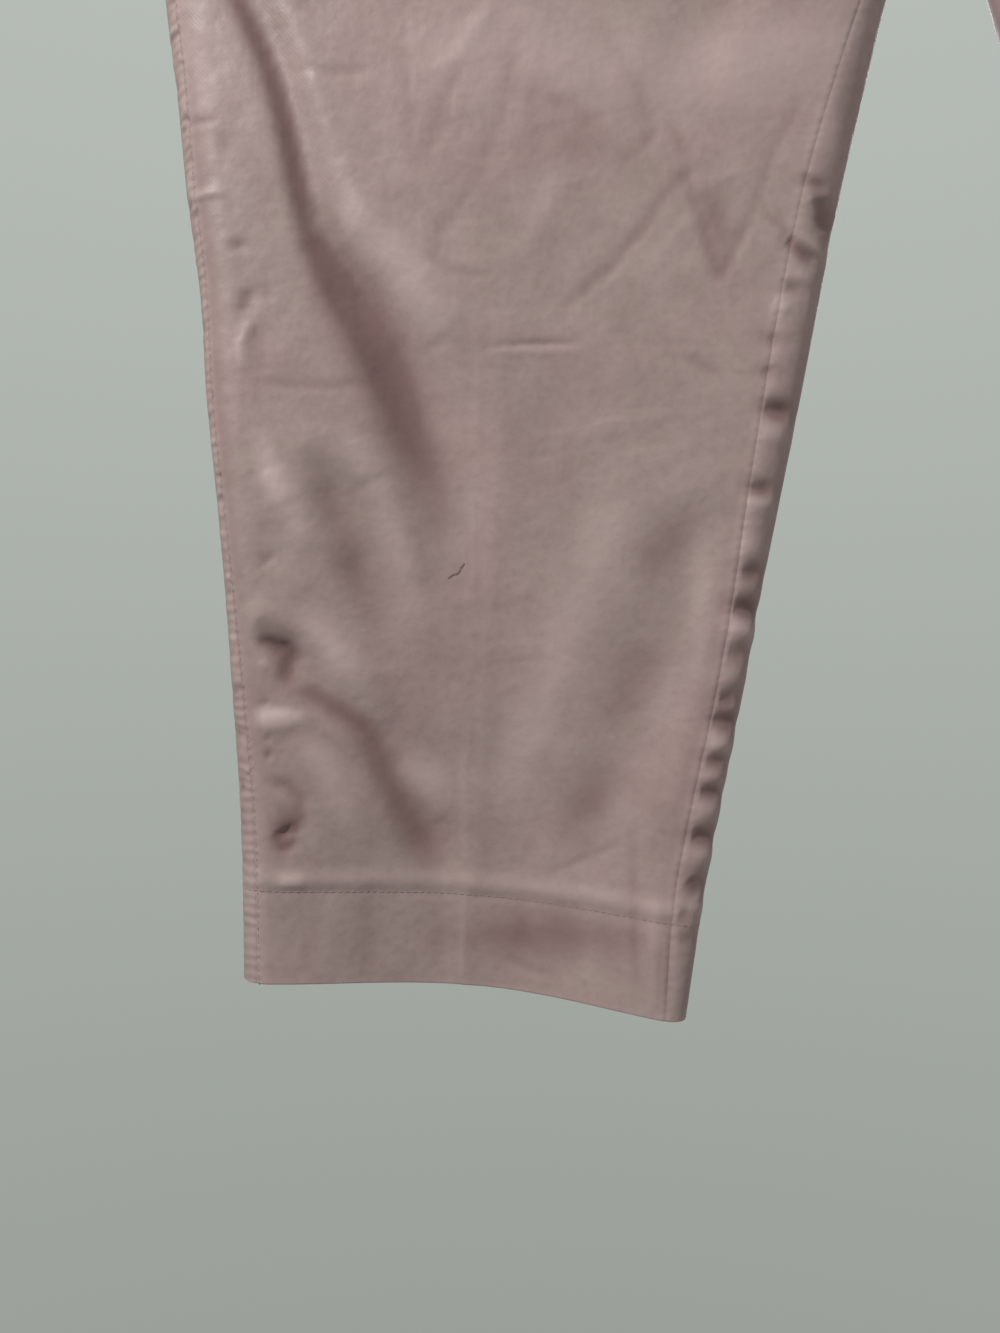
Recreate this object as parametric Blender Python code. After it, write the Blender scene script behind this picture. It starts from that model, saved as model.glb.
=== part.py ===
"""Capri pants, hanging by the waist with the front towards -Y.

Four cloth panels (two fronts and two backs) are lofted through horizontal rings, one ring
round each leg below the crotch and one half ring on each side of the centre seams above it.
A waistband, a fly with its zip and a button close the top.  The origin is the middle of the
waist's upper edge, where the garment is held.  Metres, +Z up, wearer's right is -X.
"""

from collections import namedtuple
import math

import bmesh
import bpy
import numpy as np

# Sizes of the garment
CROTCH_HEIGHT = -0.275
HEM_HEIGHT = -0.775
WAIST_SEAM = -0.040
FRONT_DIP = 0.012  # the front of the waist lies this much lower than the back
HEM_LIFT = 0.0178  # the outer end of the hem hangs higher than its inner end
HEM_ARCH = 0.0024  # the middle of the hem rises this much
HEM_DEPTH = 0.0405  # of the turned-up hem
CROTCH_CURVE = 0.075  # height of the rounded part of the crotch seam

# Cloth
CLOTH = 0.0012
HEM_CLOTH = 0.0022  # two layers
BAND_CLOTH = 0.0022
SEAM_GAP = 0.0003

# Mesh
FRONT_COLUMNS = 20
BACK_COLUMNS = 19
FRONT_CLOSER, BACK_CLOSER = 0.35, 0.55  # how much closer the columns are at the seams
DENSE = 120  # points along each layer before it is spaced out
WRAP_POINTS = 12  # between a seam and the fold beside it
ROW_STEP = 0.0195
CROTCH_ROWS = (0.006, 0.016, 0.030, 0.048)  # above the crotch
PATH_STEPS = 6  # between two points of a fold's path
SHARP_ANGLE = math.radians(50)
SAME = 1e-6

# One row for each height: the half widths are measured from the centre line, front and back
# are how far each side stands off the plane of the side folds, sag is how far the middle of the
# front falls back, round is the width of the rounded sides, and the last two say how far the
# seams lie in from the folds, on the front.
Section = namedtuple("Section", "z outer inner front back sag round outseam inseam")
SECTIONS = (
    Section(-0.7750, 0.2983, 0.1096, 0.0110, 0.0215, 0.0195, 0.014, 0.0073, 0.0100),
    Section(-0.7246, 0.2988, 0.1020, 0.0112, 0.0210, 0.0185, 0.014, 0.0073, 0.0140),
    Section(-0.6817, 0.3001, 0.0942, 0.0122, 0.0200, 0.0165, 0.015, 0.0070, 0.0140),
    Section(-0.6389, 0.3031, 0.0857, 0.0130, 0.0190, 0.0145, 0.015, 0.0060, 0.0135),
    Section(-0.5960, 0.3061, 0.0779, 0.0138, 0.0185, 0.0115, 0.016, 0.0048, 0.0140),
    Section(-0.5531, 0.3099, 0.0694, 0.0148, 0.0185, 0.0090, 0.017, 0.0040, 0.0165),
    Section(-0.5102, 0.3142, 0.0608, 0.0158, 0.0188, 0.0062, 0.018, 0.0042, 0.0185),
    Section(-0.4673, 0.3168, 0.0526, 0.0165, 0.0192, 0.0038, 0.019, 0.0048, 0.0195),
    Section(-0.4245, 0.3224, 0.0441, 0.0172, 0.0200, 0.0020, 0.020, 0.0056, 0.0190),
    Section(-0.3816, 0.3266, 0.0342, 0.0178, 0.0207, 0.0005, 0.021, 0.0062, 0.0165),
    Section(-0.3387, 0.3318, 0.0235, 0.0184, 0.0214, 0.0000, 0.023, 0.0064, 0.0120),
    Section(-0.3000, 0.3342, 0.0100, 0.0190, 0.0220, 0.0000, 0.025, 0.0062, 0.0060),
    Section(-0.2750, 0.3325, 0.0000, 0.0196, 0.0226, 0.0000, 0.026, 0.0060, 0.0000),
    Section(-0.2100, 0.3170, 0.0000, 0.0200, 0.0240, 0.0000, 0.028, 0.0056, 0.0000),
    Section(-0.1400, 0.2940, 0.0000, 0.0185, 0.0225, 0.0000, 0.028, 0.0056, 0.0000),
    Section(-0.0600, 0.2670, 0.0000, 0.0150, 0.0175, 0.0000, 0.026, 0.0050, 0.0000),
    Section(0.0000, 0.2520, 0.0000, 0.0125, 0.0150, 0.0000, 0.024, 0.0040, 0.0000),
)

# Folds, as soft troughs.  Each is a path of points: across is the distance from the centre
# line, left and right are the widths of its two slopes as seen from outside while going down
# the wearer's right leg, and depth is how far it goes in (a ridge has a negative depth).
FoldPoint = namedtuple("FoldPoint", "across z left right depth")
FRONT_FOLDS_RIGHT = (
    (  # from the hip down the outer thigh to below the knee
        FoldPoint(0.3075, -0.3160, 0.012, 0.012, 0.0000),
        FoldPoint(0.3000, -0.3320, 0.011, 0.011, 0.0022),
        FoldPoint(0.2908, -0.3488, 0.011, 0.012, 0.0042),
        FoldPoint(0.2798, -0.3761, 0.011, 0.012, 0.0050),
        FoldPoint(0.2726, -0.4016, 0.011, 0.013, 0.0052),
        FoldPoint(0.2669, -0.4268, 0.012, 0.016, 0.0060),
        FoldPoint(0.2592, -0.4471, 0.015, 0.021, 0.0080),
        FoldPoint(0.2494, -0.4612, 0.019, 0.026, 0.0102),
        FoldPoint(0.2347, -0.4826, 0.022, 0.032, 0.0112),
        FoldPoint(0.2257, -0.5029, 0.023, 0.035, 0.0106),
        FoldPoint(0.2179, -0.5233, 0.024, 0.034, 0.0088),
        FoldPoint(0.2117, -0.5451, 0.024, 0.030, 0.0058),
        FoldPoint(0.2093, -0.5709, 0.022, 0.025, 0.0028),
        FoldPoint(0.2081, -0.5962, 0.018, 0.018, 0.0000),
    ),
    (  # beside the knee
        FoldPoint(0.2688, -0.5304, 0.012, 0.014, 0.0000),
        FoldPoint(0.2591, -0.5509, 0.012, 0.020, 0.0034),
        FoldPoint(0.2518, -0.5673, 0.013, 0.022, 0.0032),
        FoldPoint(0.2470, -0.5840, 0.014, 0.022, 0.0038),
        FoldPoint(0.2397, -0.6015, 0.014, 0.020, 0.0030),
        FoldPoint(0.2348, -0.6260, 0.014, 0.016, 0.0000),
    ),
    (  # from the outseam towards the hem
        FoldPoint(0.2896, -0.6043, 0.010, 0.010, 0.0000),
        FoldPoint(0.2791, -0.6176, 0.011, 0.014, 0.0038),
        FoldPoint(0.2654, -0.6344, 0.012, 0.020, 0.0034),
        FoldPoint(0.2458, -0.6506, 0.014, 0.024, 0.0036),
        FoldPoint(0.2318, -0.6748, 0.015, 0.026, 0.0042),
        FoldPoint(0.2192, -0.7020, 0.016, 0.024, 0.0034),
        FoldPoint(0.2120, -0.7260, 0.015, 0.018, 0.0000),
    ),
    (  # from the inseam towards the middle of the leg
        FoldPoint(0.0934, -0.5499, 0.020, 0.018, 0.0000),
        FoldPoint(0.1055, -0.5780, 0.025, 0.021, 0.0030),
        FoldPoint(0.1200, -0.6197, 0.028, 0.023, 0.0034),
        FoldPoint(0.1322, -0.6556, 0.028, 0.023, 0.0030),
        FoldPoint(0.1421, -0.6865, 0.024, 0.022, 0.0028),
        FoldPoint(0.1537, -0.7214, 0.018, 0.018, 0.0000),
    ),
    (  # the swell beside the first fold
        FoldPoint(0.2620, -0.4200, 0.010, 0.016, 0.0000),
        FoldPoint(0.2480, -0.4440, 0.012, 0.022, -0.0016),
        FoldPoint(0.2290, -0.4640, 0.016, 0.028, -0.0024),
        FoldPoint(0.2080, -0.4840, 0.018, 0.032, -0.0022),
        FoldPoint(0.1960, -0.5100, 0.020, 0.032, -0.0016),
        FoldPoint(0.1880, -0.5500, 0.018, 0.026, 0.0000),
    ),
    (  # from the crotch towards the hip
        FoldPoint(0.0240, -0.3020, 0.014, 0.016, 0.0000),
        FoldPoint(0.0600, -0.2740, 0.016, 0.018, 0.0045),
        FoldPoint(0.1150, -0.2420, 0.018, 0.020, 0.0040),
        FoldPoint(0.1750, -0.2200, 0.018, 0.020, 0.0000),
    ),
    (  # down the inner thigh from the crotch
        FoldPoint(0.0560, -0.2900, 0.018, 0.018, 0.0000),
        FoldPoint(0.0850, -0.3220, 0.020, 0.022, 0.0036),
        FoldPoint(0.1080, -0.3600, 0.022, 0.024, 0.0022),
        FoldPoint(0.1220, -0.4150, 0.022, 0.024, 0.0000),
    ),
)
FRONT_FOLDS_LEFT = (
    (  # from the hip down the outer thigh to below the knee
        FoldPoint(0.3150, -0.3150, 0.012, 0.011, 0.0000),
        FoldPoint(0.2985, -0.3580, 0.013, 0.012, 0.0058),
        FoldPoint(0.2830, -0.4020, 0.014, 0.012, 0.0070),
        FoldPoint(0.2700, -0.4450, 0.014, 0.013, 0.0068),
        FoldPoint(0.2590, -0.4820, 0.016, 0.020, 0.0095),
        FoldPoint(0.2430, -0.5180, 0.017, 0.023, 0.0108),
        FoldPoint(0.2290, -0.5520, 0.018, 0.022, 0.0085),
        FoldPoint(0.2190, -0.5850, 0.018, 0.020, 0.0045),
        FoldPoint(0.2130, -0.6180, 0.018, 0.018, 0.0000),
    ),
    (  # beside the knee
        FoldPoint(0.2740, -0.5150, 0.013, 0.012, 0.0000),
        FoldPoint(0.2610, -0.5480, 0.014, 0.014, 0.0036),
        FoldPoint(0.2500, -0.5820, 0.015, 0.015, 0.0038),
        FoldPoint(0.2400, -0.6200, 0.014, 0.014, 0.0000),
    ),
    (  # from the outseam towards the hem
        FoldPoint(0.2880, -0.6200, 0.010, 0.010, 0.0000),
        FoldPoint(0.2760, -0.6340, 0.013, 0.012, 0.0040),
        FoldPoint(0.2560, -0.6600, 0.018, 0.016, 0.0034),
        FoldPoint(0.2330, -0.6880, 0.020, 0.018, 0.0036),
        FoldPoint(0.2160, -0.7200, 0.016, 0.016, 0.0000),
    ),
    (  # from the inseam towards the middle of the leg
        FoldPoint(0.0900, -0.5400, 0.020, 0.018, 0.0000),
        FoldPoint(0.1120, -0.5850, 0.024, 0.022, 0.0028),
        FoldPoint(0.1330, -0.6350, 0.026, 0.024, 0.0030),
        FoldPoint(0.1540, -0.6950, 0.020, 0.020, 0.0000),
    ),
    (  # the ridge beside the first fold
        FoldPoint(0.2880, -0.3350, 0.012, 0.018, 0.0000),
        FoldPoint(0.2640, -0.4100, 0.014, 0.020, -0.0022),
        FoldPoint(0.2380, -0.4700, 0.016, 0.024, -0.0030),
        FoldPoint(0.2050, -0.5250, 0.018, 0.026, -0.0028),
        FoldPoint(0.1900, -0.5700, 0.018, 0.022, 0.0000),
    ),
    (  # from the crotch towards the hip
        FoldPoint(0.0260, -0.3000, 0.014, 0.016, 0.0000),
        FoldPoint(0.0640, -0.2700, 0.016, 0.018, 0.0040),
        FoldPoint(0.1180, -0.2380, 0.018, 0.020, 0.0038),
        FoldPoint(0.1800, -0.2180, 0.018, 0.020, 0.0000),
    ),
    (  # down the inner thigh from the crotch
        FoldPoint(0.0540, -0.2900, 0.018, 0.018, 0.0000),
        FoldPoint(0.0830, -0.3260, 0.020, 0.022, 0.0034),
        FoldPoint(0.1070, -0.3680, 0.022, 0.024, 0.0024),
        FoldPoint(0.1230, -0.4250, 0.022, 0.024, 0.0000),
    ),
)
BACK_FOLDS_RIGHT = (
    (  # under the seat
        FoldPoint(0.0350, -0.2850, 0.016, 0.018, 0.0000),
        FoldPoint(0.0850, -0.2700, 0.018, 0.020, 0.0055),
        FoldPoint(0.1500, -0.2780, 0.018, 0.020, 0.0045),
        FoldPoint(0.2150, -0.3050, 0.018, 0.018, 0.0000),
    ),
    (  # down the thigh
        FoldPoint(0.1100, -0.3200, 0.020, 0.022, 0.0000),
        FoldPoint(0.1350, -0.3900, 0.022, 0.026, 0.0060),
        FoldPoint(0.1600, -0.4700, 0.024, 0.026, 0.0065),
        FoldPoint(0.1780, -0.5500, 0.022, 0.022, 0.0000),
    ),
    (  # from the outseam behind the knee
        FoldPoint(0.2740, -0.4500, 0.016, 0.016, 0.0000),
        FoldPoint(0.2450, -0.5050, 0.018, 0.020, 0.0060),
        FoldPoint(0.2180, -0.5700, 0.018, 0.020, 0.0055),
        FoldPoint(0.2020, -0.6400, 0.018, 0.018, 0.0000),
    ),
    (  # from the inseam to the calf
        FoldPoint(0.0980, -0.5300, 0.016, 0.016, 0.0000),
        FoldPoint(0.1260, -0.5900, 0.018, 0.018, 0.0045),
        FoldPoint(0.1520, -0.6550, 0.018, 0.018, 0.0040),
        FoldPoint(0.1700, -0.7100, 0.018, 0.018, 0.0000),
    ),
)
BACK_FOLDS_LEFT = (
    (  # under the seat
        FoldPoint(0.0320, -0.2820, 0.016, 0.018, 0.0000),
        FoldPoint(0.0800, -0.2640, 0.018, 0.020, 0.0050),
        FoldPoint(0.1400, -0.2700, 0.018, 0.020, 0.0050),
        FoldPoint(0.2050, -0.2950, 0.018, 0.018, 0.0000),
    ),
    (  # down the thigh
        FoldPoint(0.1200, -0.3150, 0.020, 0.022, 0.0000),
        FoldPoint(0.1480, -0.3800, 0.022, 0.026, 0.0065),
        FoldPoint(0.1700, -0.4600, 0.024, 0.026, 0.0060),
        FoldPoint(0.1820, -0.5350, 0.022, 0.022, 0.0000),
    ),
    (  # from the outseam behind the knee
        FoldPoint(0.2800, -0.4300, 0.016, 0.016, 0.0000),
        FoldPoint(0.2520, -0.4900, 0.018, 0.020, 0.0055),
        FoldPoint(0.2260, -0.5550, 0.018, 0.020, 0.0060),
        FoldPoint(0.2080, -0.6200, 0.018, 0.018, 0.0000),
    ),
    (  # from the inseam to the calf
        FoldPoint(0.0940, -0.5450, 0.016, 0.016, 0.0000),
        FoldPoint(0.1220, -0.6050, 0.018, 0.018, 0.0045),
        FoldPoint(0.1480, -0.6650, 0.018, 0.018, 0.0036),
        FoldPoint(0.1660, -0.7150, 0.018, 0.018, 0.0000),
    ),
)

# Hem: a groove at its stitching and a ridge over the edge of the turned-up cloth
HEM_GROOVE, GROOVE_WIDTH = 0.0006, 0.0025
HEM_RIDGE, RIDGE_WIDTH, RIDGE_RISE = 0.0012, 0.0035, 0.0055

# Middle of the front: how it falls back towards the back layer, and its pressed crease
SAG_SKEW, SAG_BREADTH = 1.1, 1.6
CREASE_HEIGHT = 0.0012
CREASE_WIDTH = 0.006
CREASE_START = 0.25  # of the way down from the crotch to the hem

# Fly, zip and button
FLY_WIDTH = 0.034
FLY_LAP = 0.006  # past the centre line, over the wearer's left front
FLY_LENGTH = 0.150
FLY_ROUND = 0.045
FLY_CLOTH = 0.0010
FLY_ROWS, FLY_COLUMNS = 16, 6
FLY_TIP = 0.004  # squared share of the width that is left at the lower end
ZIP_WIDTH = 0.024
ZIP_LENGTH = 0.140
ZIP_CLOTH = 0.0012
ZIP_COLUMNS = 5
LAYER_GAP = 0.0005
PROBE = 0.004  # step for finding the front's slope

# Waistband: its underlap slides in behind the lap between two distances from the centre
BAND_HEIGHT = 0.040
BAND_UNDERLAP = 0.030
BAND_PROUD = 0.0004
BAND_SHIFT_START, BAND_SHIFT_END = 0.060, 0.016
BAND_ROWS, BAND_COLUMNS, BAND_DENSE = 3, 73, 33

# Button
BUTTON_RADIUS = 0.0085
BUTTON_THICK = 0.0026
BUTTON_BEVEL = 0.0010
BUTTON_RIM = 0.0016
BUTTON_DISH = 0.0008
BUTTON_STEPS = 24
BUTTON_HOLES = 4
BUTTON_HOLE = 0.0009
BUTTON_HOLE_SPACING = 0.0017
BUTTON_HOLE_STEPS = 10
CUTTER_LENGTH = 0.010
BUTTON_ACROSS = 0.010

RIGHT, LEFT = -1, 1  # the wearer's sides


def smooth_step(t):
    t = np.clip(t, 0.0, 1.0)
    return t * t * (3 - 2 * t)


def size_at(name, z):
    """A column of SECTIONS at height z, along a smooth curve through its rows."""
    heights = np.array([row.z for row in SECTIONS])
    values = np.array([getattr(row, name) for row in SECTIONS])
    slopes = np.gradient(values, heights)
    z = np.clip(np.asarray(z, float), heights[0], heights[-1])
    i = np.clip(np.searchsorted(heights, z, side="right") - 1, 0, len(heights) - 2)
    gap = heights[i + 1] - heights[i]
    t = (z - heights[i]) / gap
    start = values[i] * (1 + 2 * t) * (1 - t) ** 2 + slopes[i] * gap * t * (1 - t) ** 2
    end = values[i + 1] * t * t * (3 - 2 * t) - slopes[i + 1] * gap * t * t * (1 - t)
    return start + end


def smooth_path(path):
    """The fold's points with more of them between, on a curve through them."""
    points = np.array(path)
    points = np.concatenate((points[:1], points, points[-1:]))
    t = np.linspace(0.0, 1.0, PATH_STEPS, endpoint=False)[:, None]
    pieces = []
    for before, start, end, after in zip(points, points[1:], points[2:], points[3:]):
        first = (end - before) / 2
        last = (after - start) / 2
        bend = 3 * (end - start) - 2 * first - last
        turn = first + last - 2 * (end - start)
        pieces.append(start + t * (first + t * (bend + t * turn)))
    return np.concatenate((*pieces, points[-1:]))


def fold_depth(path, across, z):
    """How far a fold goes in at each point, across and z being arrays of the same shape."""
    best = np.full(across.shape, np.inf)
    depth = np.zeros(across.shape)
    place = np.stack((across, z), axis=-1)
    curve = smooth_path(path)
    for start, end in zip(curve, curve[1:]):
        run = (end - start)[:2]
        off = place - start[:2]
        t = np.clip(off @ run / (run @ run), 0.0, 1.0)[..., None]
        off = off - t * run
        distance = np.hypot(off[..., 0], off[..., 1])
        _, _, left, right, deep = np.moveaxis(start + (end - start) * t, -1, 0)
        on_left = run[0] * off[..., 1] - run[1] * off[..., 0] > 0
        share = 1 - smooth_step(distance / np.where(on_left, left, right))
        depth = np.where(distance < best, deep * share, depth)
        best = np.minimum(best, distance)
    return depth


def hem_height(fraction):
    """The hem's lift above its inner end, for a fraction of the width from outer to inner."""
    return HEM_LIFT * (1 - fraction) + HEM_ARCH * np.sin(math.pi * fraction)


def hem_relief(above_hem):
    """The ridge over the edge of the turned-up hem, with a groove at its stitching."""
    groove = np.exp(-(((above_hem - HEM_DEPTH) / GROOVE_WIDTH) ** 2))
    ridge = np.exp(-(((above_hem - HEM_DEPTH - RIDGE_RISE) / RIDGE_WIDTH) ** 2))
    return HEM_RIDGE * ridge - HEM_GROOVE * groove


def layer(side, face, row_z, fraction):
    """Points of one layer of cloth, face being "front" or "back".

    row_z is the row's height at the inner end, and fraction runs from the outer fold (0) to
    the inner fold or the centre seam (1).
    """
    below = np.clip((CROTCH_HEIGHT - row_z) / (CROTCH_HEIGHT - HEM_HEIGHT), 0.0, 1.0)
    above = np.clip((row_z - CROTCH_HEIGHT) / (WAIST_SEAM - CROTCH_HEIGHT), 0.0, 1.2)
    z = row_z + hem_height(fraction) * below
    inner = size_at("inner", row_z) * (row_z < CROTCH_HEIGHT)
    outer = size_at("outer", row_z + HEM_LIFT * below)
    across = outer + (inner - outer) * fraction
    if face == "front":
        z = z - FRONT_DIP * smooth_step(above) * (1 - (across / outer) ** 2)
    rounding = size_at("round", row_z)
    from_outer = np.minimum((outer - across) / rounding, 1.0)
    from_inner = np.minimum((across - inner) / rounding, 1.0)
    crotch = np.clip((row_z - CROTCH_HEIGHT) / CROTCH_CURVE, 0.0, 1.0)
    open_outer = np.sqrt(np.clip(1 - (1 - from_outer) ** 2, 0.0, 1.0))
    open_inner = np.sqrt(np.clip(1 - ((1 - from_inner) * (1 - crotch)) ** 2, 0.0, 1.0))
    stand = size_at(face, row_z) * open_outer * open_inner
    window = smooth_step(from_outer) * np.maximum(smooth_step(from_inner), crotch)
    if face == "front":
        folds = FRONT_FOLDS_RIGHT if side == RIGHT else FRONT_FOLDS_LEFT
        sag = np.sin(math.pi * fraction**SAG_SKEW) ** SAG_BREADTH
        stand = stand - size_at("sag", row_z) * sag
        crease = np.exp(-(((fraction - 0.5) * (outer - inner) / CREASE_WIDTH) ** 2))
        stand = stand + CREASE_HEIGHT * crease * smooth_step(below / CREASE_START)
    else:
        folds = BACK_FOLDS_RIGHT if side == RIGHT else BACK_FOLDS_LEFT
    for path in folds:
        stand = stand - fold_depth(path, across, z) * window
    stand = stand + hem_relief(row_z - HEM_HEIGHT) * window
    y = -stand if face == "front" else stand
    return np.stack((side * across, y, z), axis=-1)


def distances(points):
    """How far along the polyline each point lies from its start."""
    steps = np.linalg.norm(np.diff(points, axis=0), axis=1)
    return np.concatenate(([0.0], np.cumsum(steps)))


def spaced(points, places):
    """Points along a polyline at the given distances from its start."""
    along = distances(points)
    return np.stack([np.interp(places, along, points[:, k]) for k in range(3)], axis=-1)


def column_places(count, closer):
    """Fractions from 0 to 1, closer together towards the ends by the given share."""
    t = np.linspace(0.0, 1.0, count)
    return t - closer * np.sin(2 * math.pi * t) / (2 * math.pi)


def half_rings(side, row_z):
    """One row of the front panel and one of the back panel, both from outseam inwards."""
    is_leg = row_z < CROTCH_HEIGHT + SAME
    gap = SEAM_GAP / 2
    fraction = (1 - np.cos(np.linspace(0.0, math.pi, DENSE))) / 2
    front = layer(side, "front", row_z, fraction)
    back = layer(side, "back", row_z, fraction)
    along = distances(front)
    from_outer = np.abs(front[:, 0] - front[0, 0])
    from_inner = np.abs(front[:, 0] - front[-1, 0])
    outseam = np.interp(size_at("outseam", row_z), from_outer, along)
    inseam_in = max(size_at("inseam", row_z), 0.0) * (row_z < CROTCH_HEIGHT - SAME)
    inseam = np.interp(-inseam_in, -from_inner, along)
    ends = outseam + gap, inseam - (gap if is_leg else 0.0)
    places = ends[0] + (ends[1] - ends[0]) * column_places(FRONT_COLUMNS, FRONT_CLOSER)
    front_row = spaced(front, places)
    path = [spaced(front, np.linspace(outseam - gap, 0.0, WRAP_POINTS)), back[1:]]
    if inseam_in:
        inner_wrap = np.linspace(along[-1], inseam + gap, WRAP_POINTS)
        path.append(spaced(front, inner_wrap)[1:])
    path = np.concatenate(path)
    length = distances(path)[-1] - (gap if is_leg and not inseam_in else 0.0)
    back_row = spaced(path, length * column_places(BACK_COLUMNS, BACK_CLOSER))
    if not is_leg:
        front_row[-1, 0] = back_row[-1, 0] = side * gap
        front_row[:, 0] = side * np.maximum(side * front_row[:, 0], gap)
        back_row[:, 0] = side * np.maximum(side * back_row[:, 0], gap)
    return front_row, back_row


def row_heights():
    """Heights of the rows, closer together at the hem's stitching and at the crotch."""
    stitching = HEM_HEIGHT + HEM_DEPTH
    hem = [HEM_HEIGHT, HEM_HEIGHT + HEM_DEPTH / 2, stitching - RIDGE_WIDTH, stitching]
    hem += [stitching + RIDGE_RISE, stitching + 2 * RIDGE_RISE]
    leg_rows = round((CROTCH_HEIGHT - hem[-1]) / ROW_STEP)
    leg = np.linspace(hem[-1], CROTCH_HEIGHT, leg_rows + 1)[1:]
    crotch = CROTCH_HEIGHT + np.array(CROTCH_ROWS)
    hip_rows = round((WAIST_SEAM - crotch[-1]) / ROW_STEP)
    hip = np.linspace(crotch[-1], WAIST_SEAM - SEAM_GAP, hip_rows + 1)[1:]
    return np.concatenate((hem, leg, crotch, hip))


def unit(vectors):
    return vectors / np.maximum(np.linalg.norm(vectors, axis=-1, keepdims=True), SAME**2)


def outward(side, fronts, backs, heights):
    """Normals of the front and the back panel, the same on both sides of each seam."""
    ring = np.concatenate((fronts[:, ::-1], backs), axis=1)
    seam = fronts.shape[1]  # the outseam pair is seam - 1 and seam
    ahead = np.roll(ring, -1, axis=1)
    behind = np.roll(ring, 1, axis=1)
    ahead[:, seam - 1] = ring[:, seam + 1]
    behind[:, seam] = ring[:, seam - 2]
    is_leg = heights < CROTCH_HEIGHT + SAME
    ahead[is_leg, -1] = ring[is_leg, 1]
    behind[is_leg, 0] = ring[is_leg, -2]
    ahead[~is_leg, -1] = ring[~is_leg, -1]
    behind[~is_leg, 0] = ring[~is_leg, 0]
    up = np.gradient(ring, axis=0)
    normals = unit(np.cross(ahead - behind, up)) * side
    normals[~is_leg, 0, 0] = 0.0
    normals[~is_leg, -1, 0] = 0.0
    crotch = int(np.argmin(abs(heights - CROTCH_HEIGHT)))
    normals[crotch, 0] = normals[crotch, -1] = (0.0, 0.0, -1.0)
    normals = unit(normals)
    return normals[:, :seam][:, ::-1], normals[:, seam:]


def new_object(name, mesh, finish):
    obj = bpy.data.objects.new(name, mesh)
    bpy.context.scene.collection.objects.link(obj)
    obj.data.materials.append(finish)
    return obj


def wall(name, outer, inner, finish):
    """A closed wall between two grids of points."""
    rows, columns = outer.shape[:2]
    bm = bmesh.new()
    grids = []
    for grid in (outer, inner):
        grids.append([[bm.verts.new(point) for point in row] for row in grid])
    top, under = grids
    for r in range(rows - 1):
        for c in range(columns - 1):
            quad = (r, c), (r, c + 1), (r + 1, c + 1), (r + 1, c)
            bm.faces.new([top[i][j] for i, j in quad])
            bm.faces.new([under[i][j] for i, j in reversed(quad)])
    rim = [(0, c) for c in range(columns)] + [(r, columns - 1) for r in range(1, rows)]
    rim += [(rows - 1, c) for c in range(columns - 2, -1, -1)]
    rim += [(r, 0) for r in range(rows - 2, 0, -1)]
    for (i, j), (k, m) in zip(rim, rim[1:] + rim[:1]):
        bm.faces.new((top[k][m], top[i][j], under[i][j], under[k][m]))
    bmesh.ops.recalc_face_normals(bm, faces=bm.faces)
    mesh = bpy.data.meshes.new(name)
    bm.to_mesh(mesh)
    bm.free()
    mesh.shade_smooth()
    mesh.set_sharp_from_angle(angle=SHARP_ANGLE)
    new_object(name, mesh, finish)


def panels(side, cloth):
    """The front and the back panel of one side."""
    heights = row_heights()
    rows = [half_rings(side, z) for z in heights]
    fronts = np.array([front for front, _ in rows])
    backs = np.array([back for _, back in rows])
    front_normals, back_normals = outward(side, fronts, backs, heights)
    in_hem = heights < HEM_HEIGHT + HEM_DEPTH - SAME
    thick = np.where(in_hem, HEM_CLOTH, CLOTH)[:, None, None]
    word = "right" if side == RIGHT else "left"
    wall(f"front_{word}", fronts, fronts - front_normals * thick, cloth)
    wall(f"back_{word}", backs, backs - back_normals * thick, cloth)


def front_point(x, z):
    """A point of the fronts' outer face near the centre line, and its normal."""
    side = RIGHT if x <= 0 else LEFT

    def at(across, row_z):
        outer = size_at("outer", row_z)
        return layer(side, "front", row_z, np.array([1 - across / outer]))[0]

    across = abs(x)
    point = at(across, z)
    run = at(across + PROBE, z) - at(max(across - PROBE, 0.0), z)
    rise = at(across, z + PROBE) - at(across, z - PROBE)
    normal = unit(np.cross(rise, run)) * side
    return point, normal * (-1.0 if normal[1] > 0 else 1.0)


def on_front(name, x_starts, x_end, heights, columns, low, high, finish):
    """A wall that follows the fronts, between two distances off their outer face."""
    inner, outer = [], []
    for x_start, z in zip(x_starts, heights):
        pairs = [front_point(x, z) for x in np.linspace(x_start, x_end, columns)]
        inner.append([point + normal * low for point, normal in pairs])
        outer.append([point + normal * high for point, normal in pairs])
    wall(name, np.array(outer), np.array(inner), finish)


def fly(cloth):
    """The lap over the zip, wider at the top and rounded off at its lower end."""
    top = WAIST_SEAM - SEAM_GAP
    heights = np.linspace(top - FLY_LENGTH, top, FLY_ROWS)
    into_round = np.clip((top - FLY_LENGTH + FLY_ROUND - heights) / FLY_ROUND, 0.0, 1.0)
    width = FLY_WIDTH * np.sqrt(np.clip(1 - into_round**2, FLY_TIP, 1.0))
    low, high = LAYER_GAP, LAYER_GAP + FLY_CLOTH
    on_front("fly", -width, FLY_LAP, heights, FLY_COLUMNS, low, high, cloth)


def zip_strip(tape):
    """The closed zip on its tape, behind the fronts."""
    top = WAIST_SEAM - SEAM_GAP
    heights = np.linspace(top - ZIP_LENGTH, top, FLY_ROWS)
    starts = np.full(FLY_ROWS, -ZIP_WIDTH / 2)
    high = -CLOTH - LAYER_GAP
    low = high - ZIP_CLOTH
    on_front("zip", starts, ZIP_WIDTH / 2, heights, ZIP_COLUMNS, low, high, tape)


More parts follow.
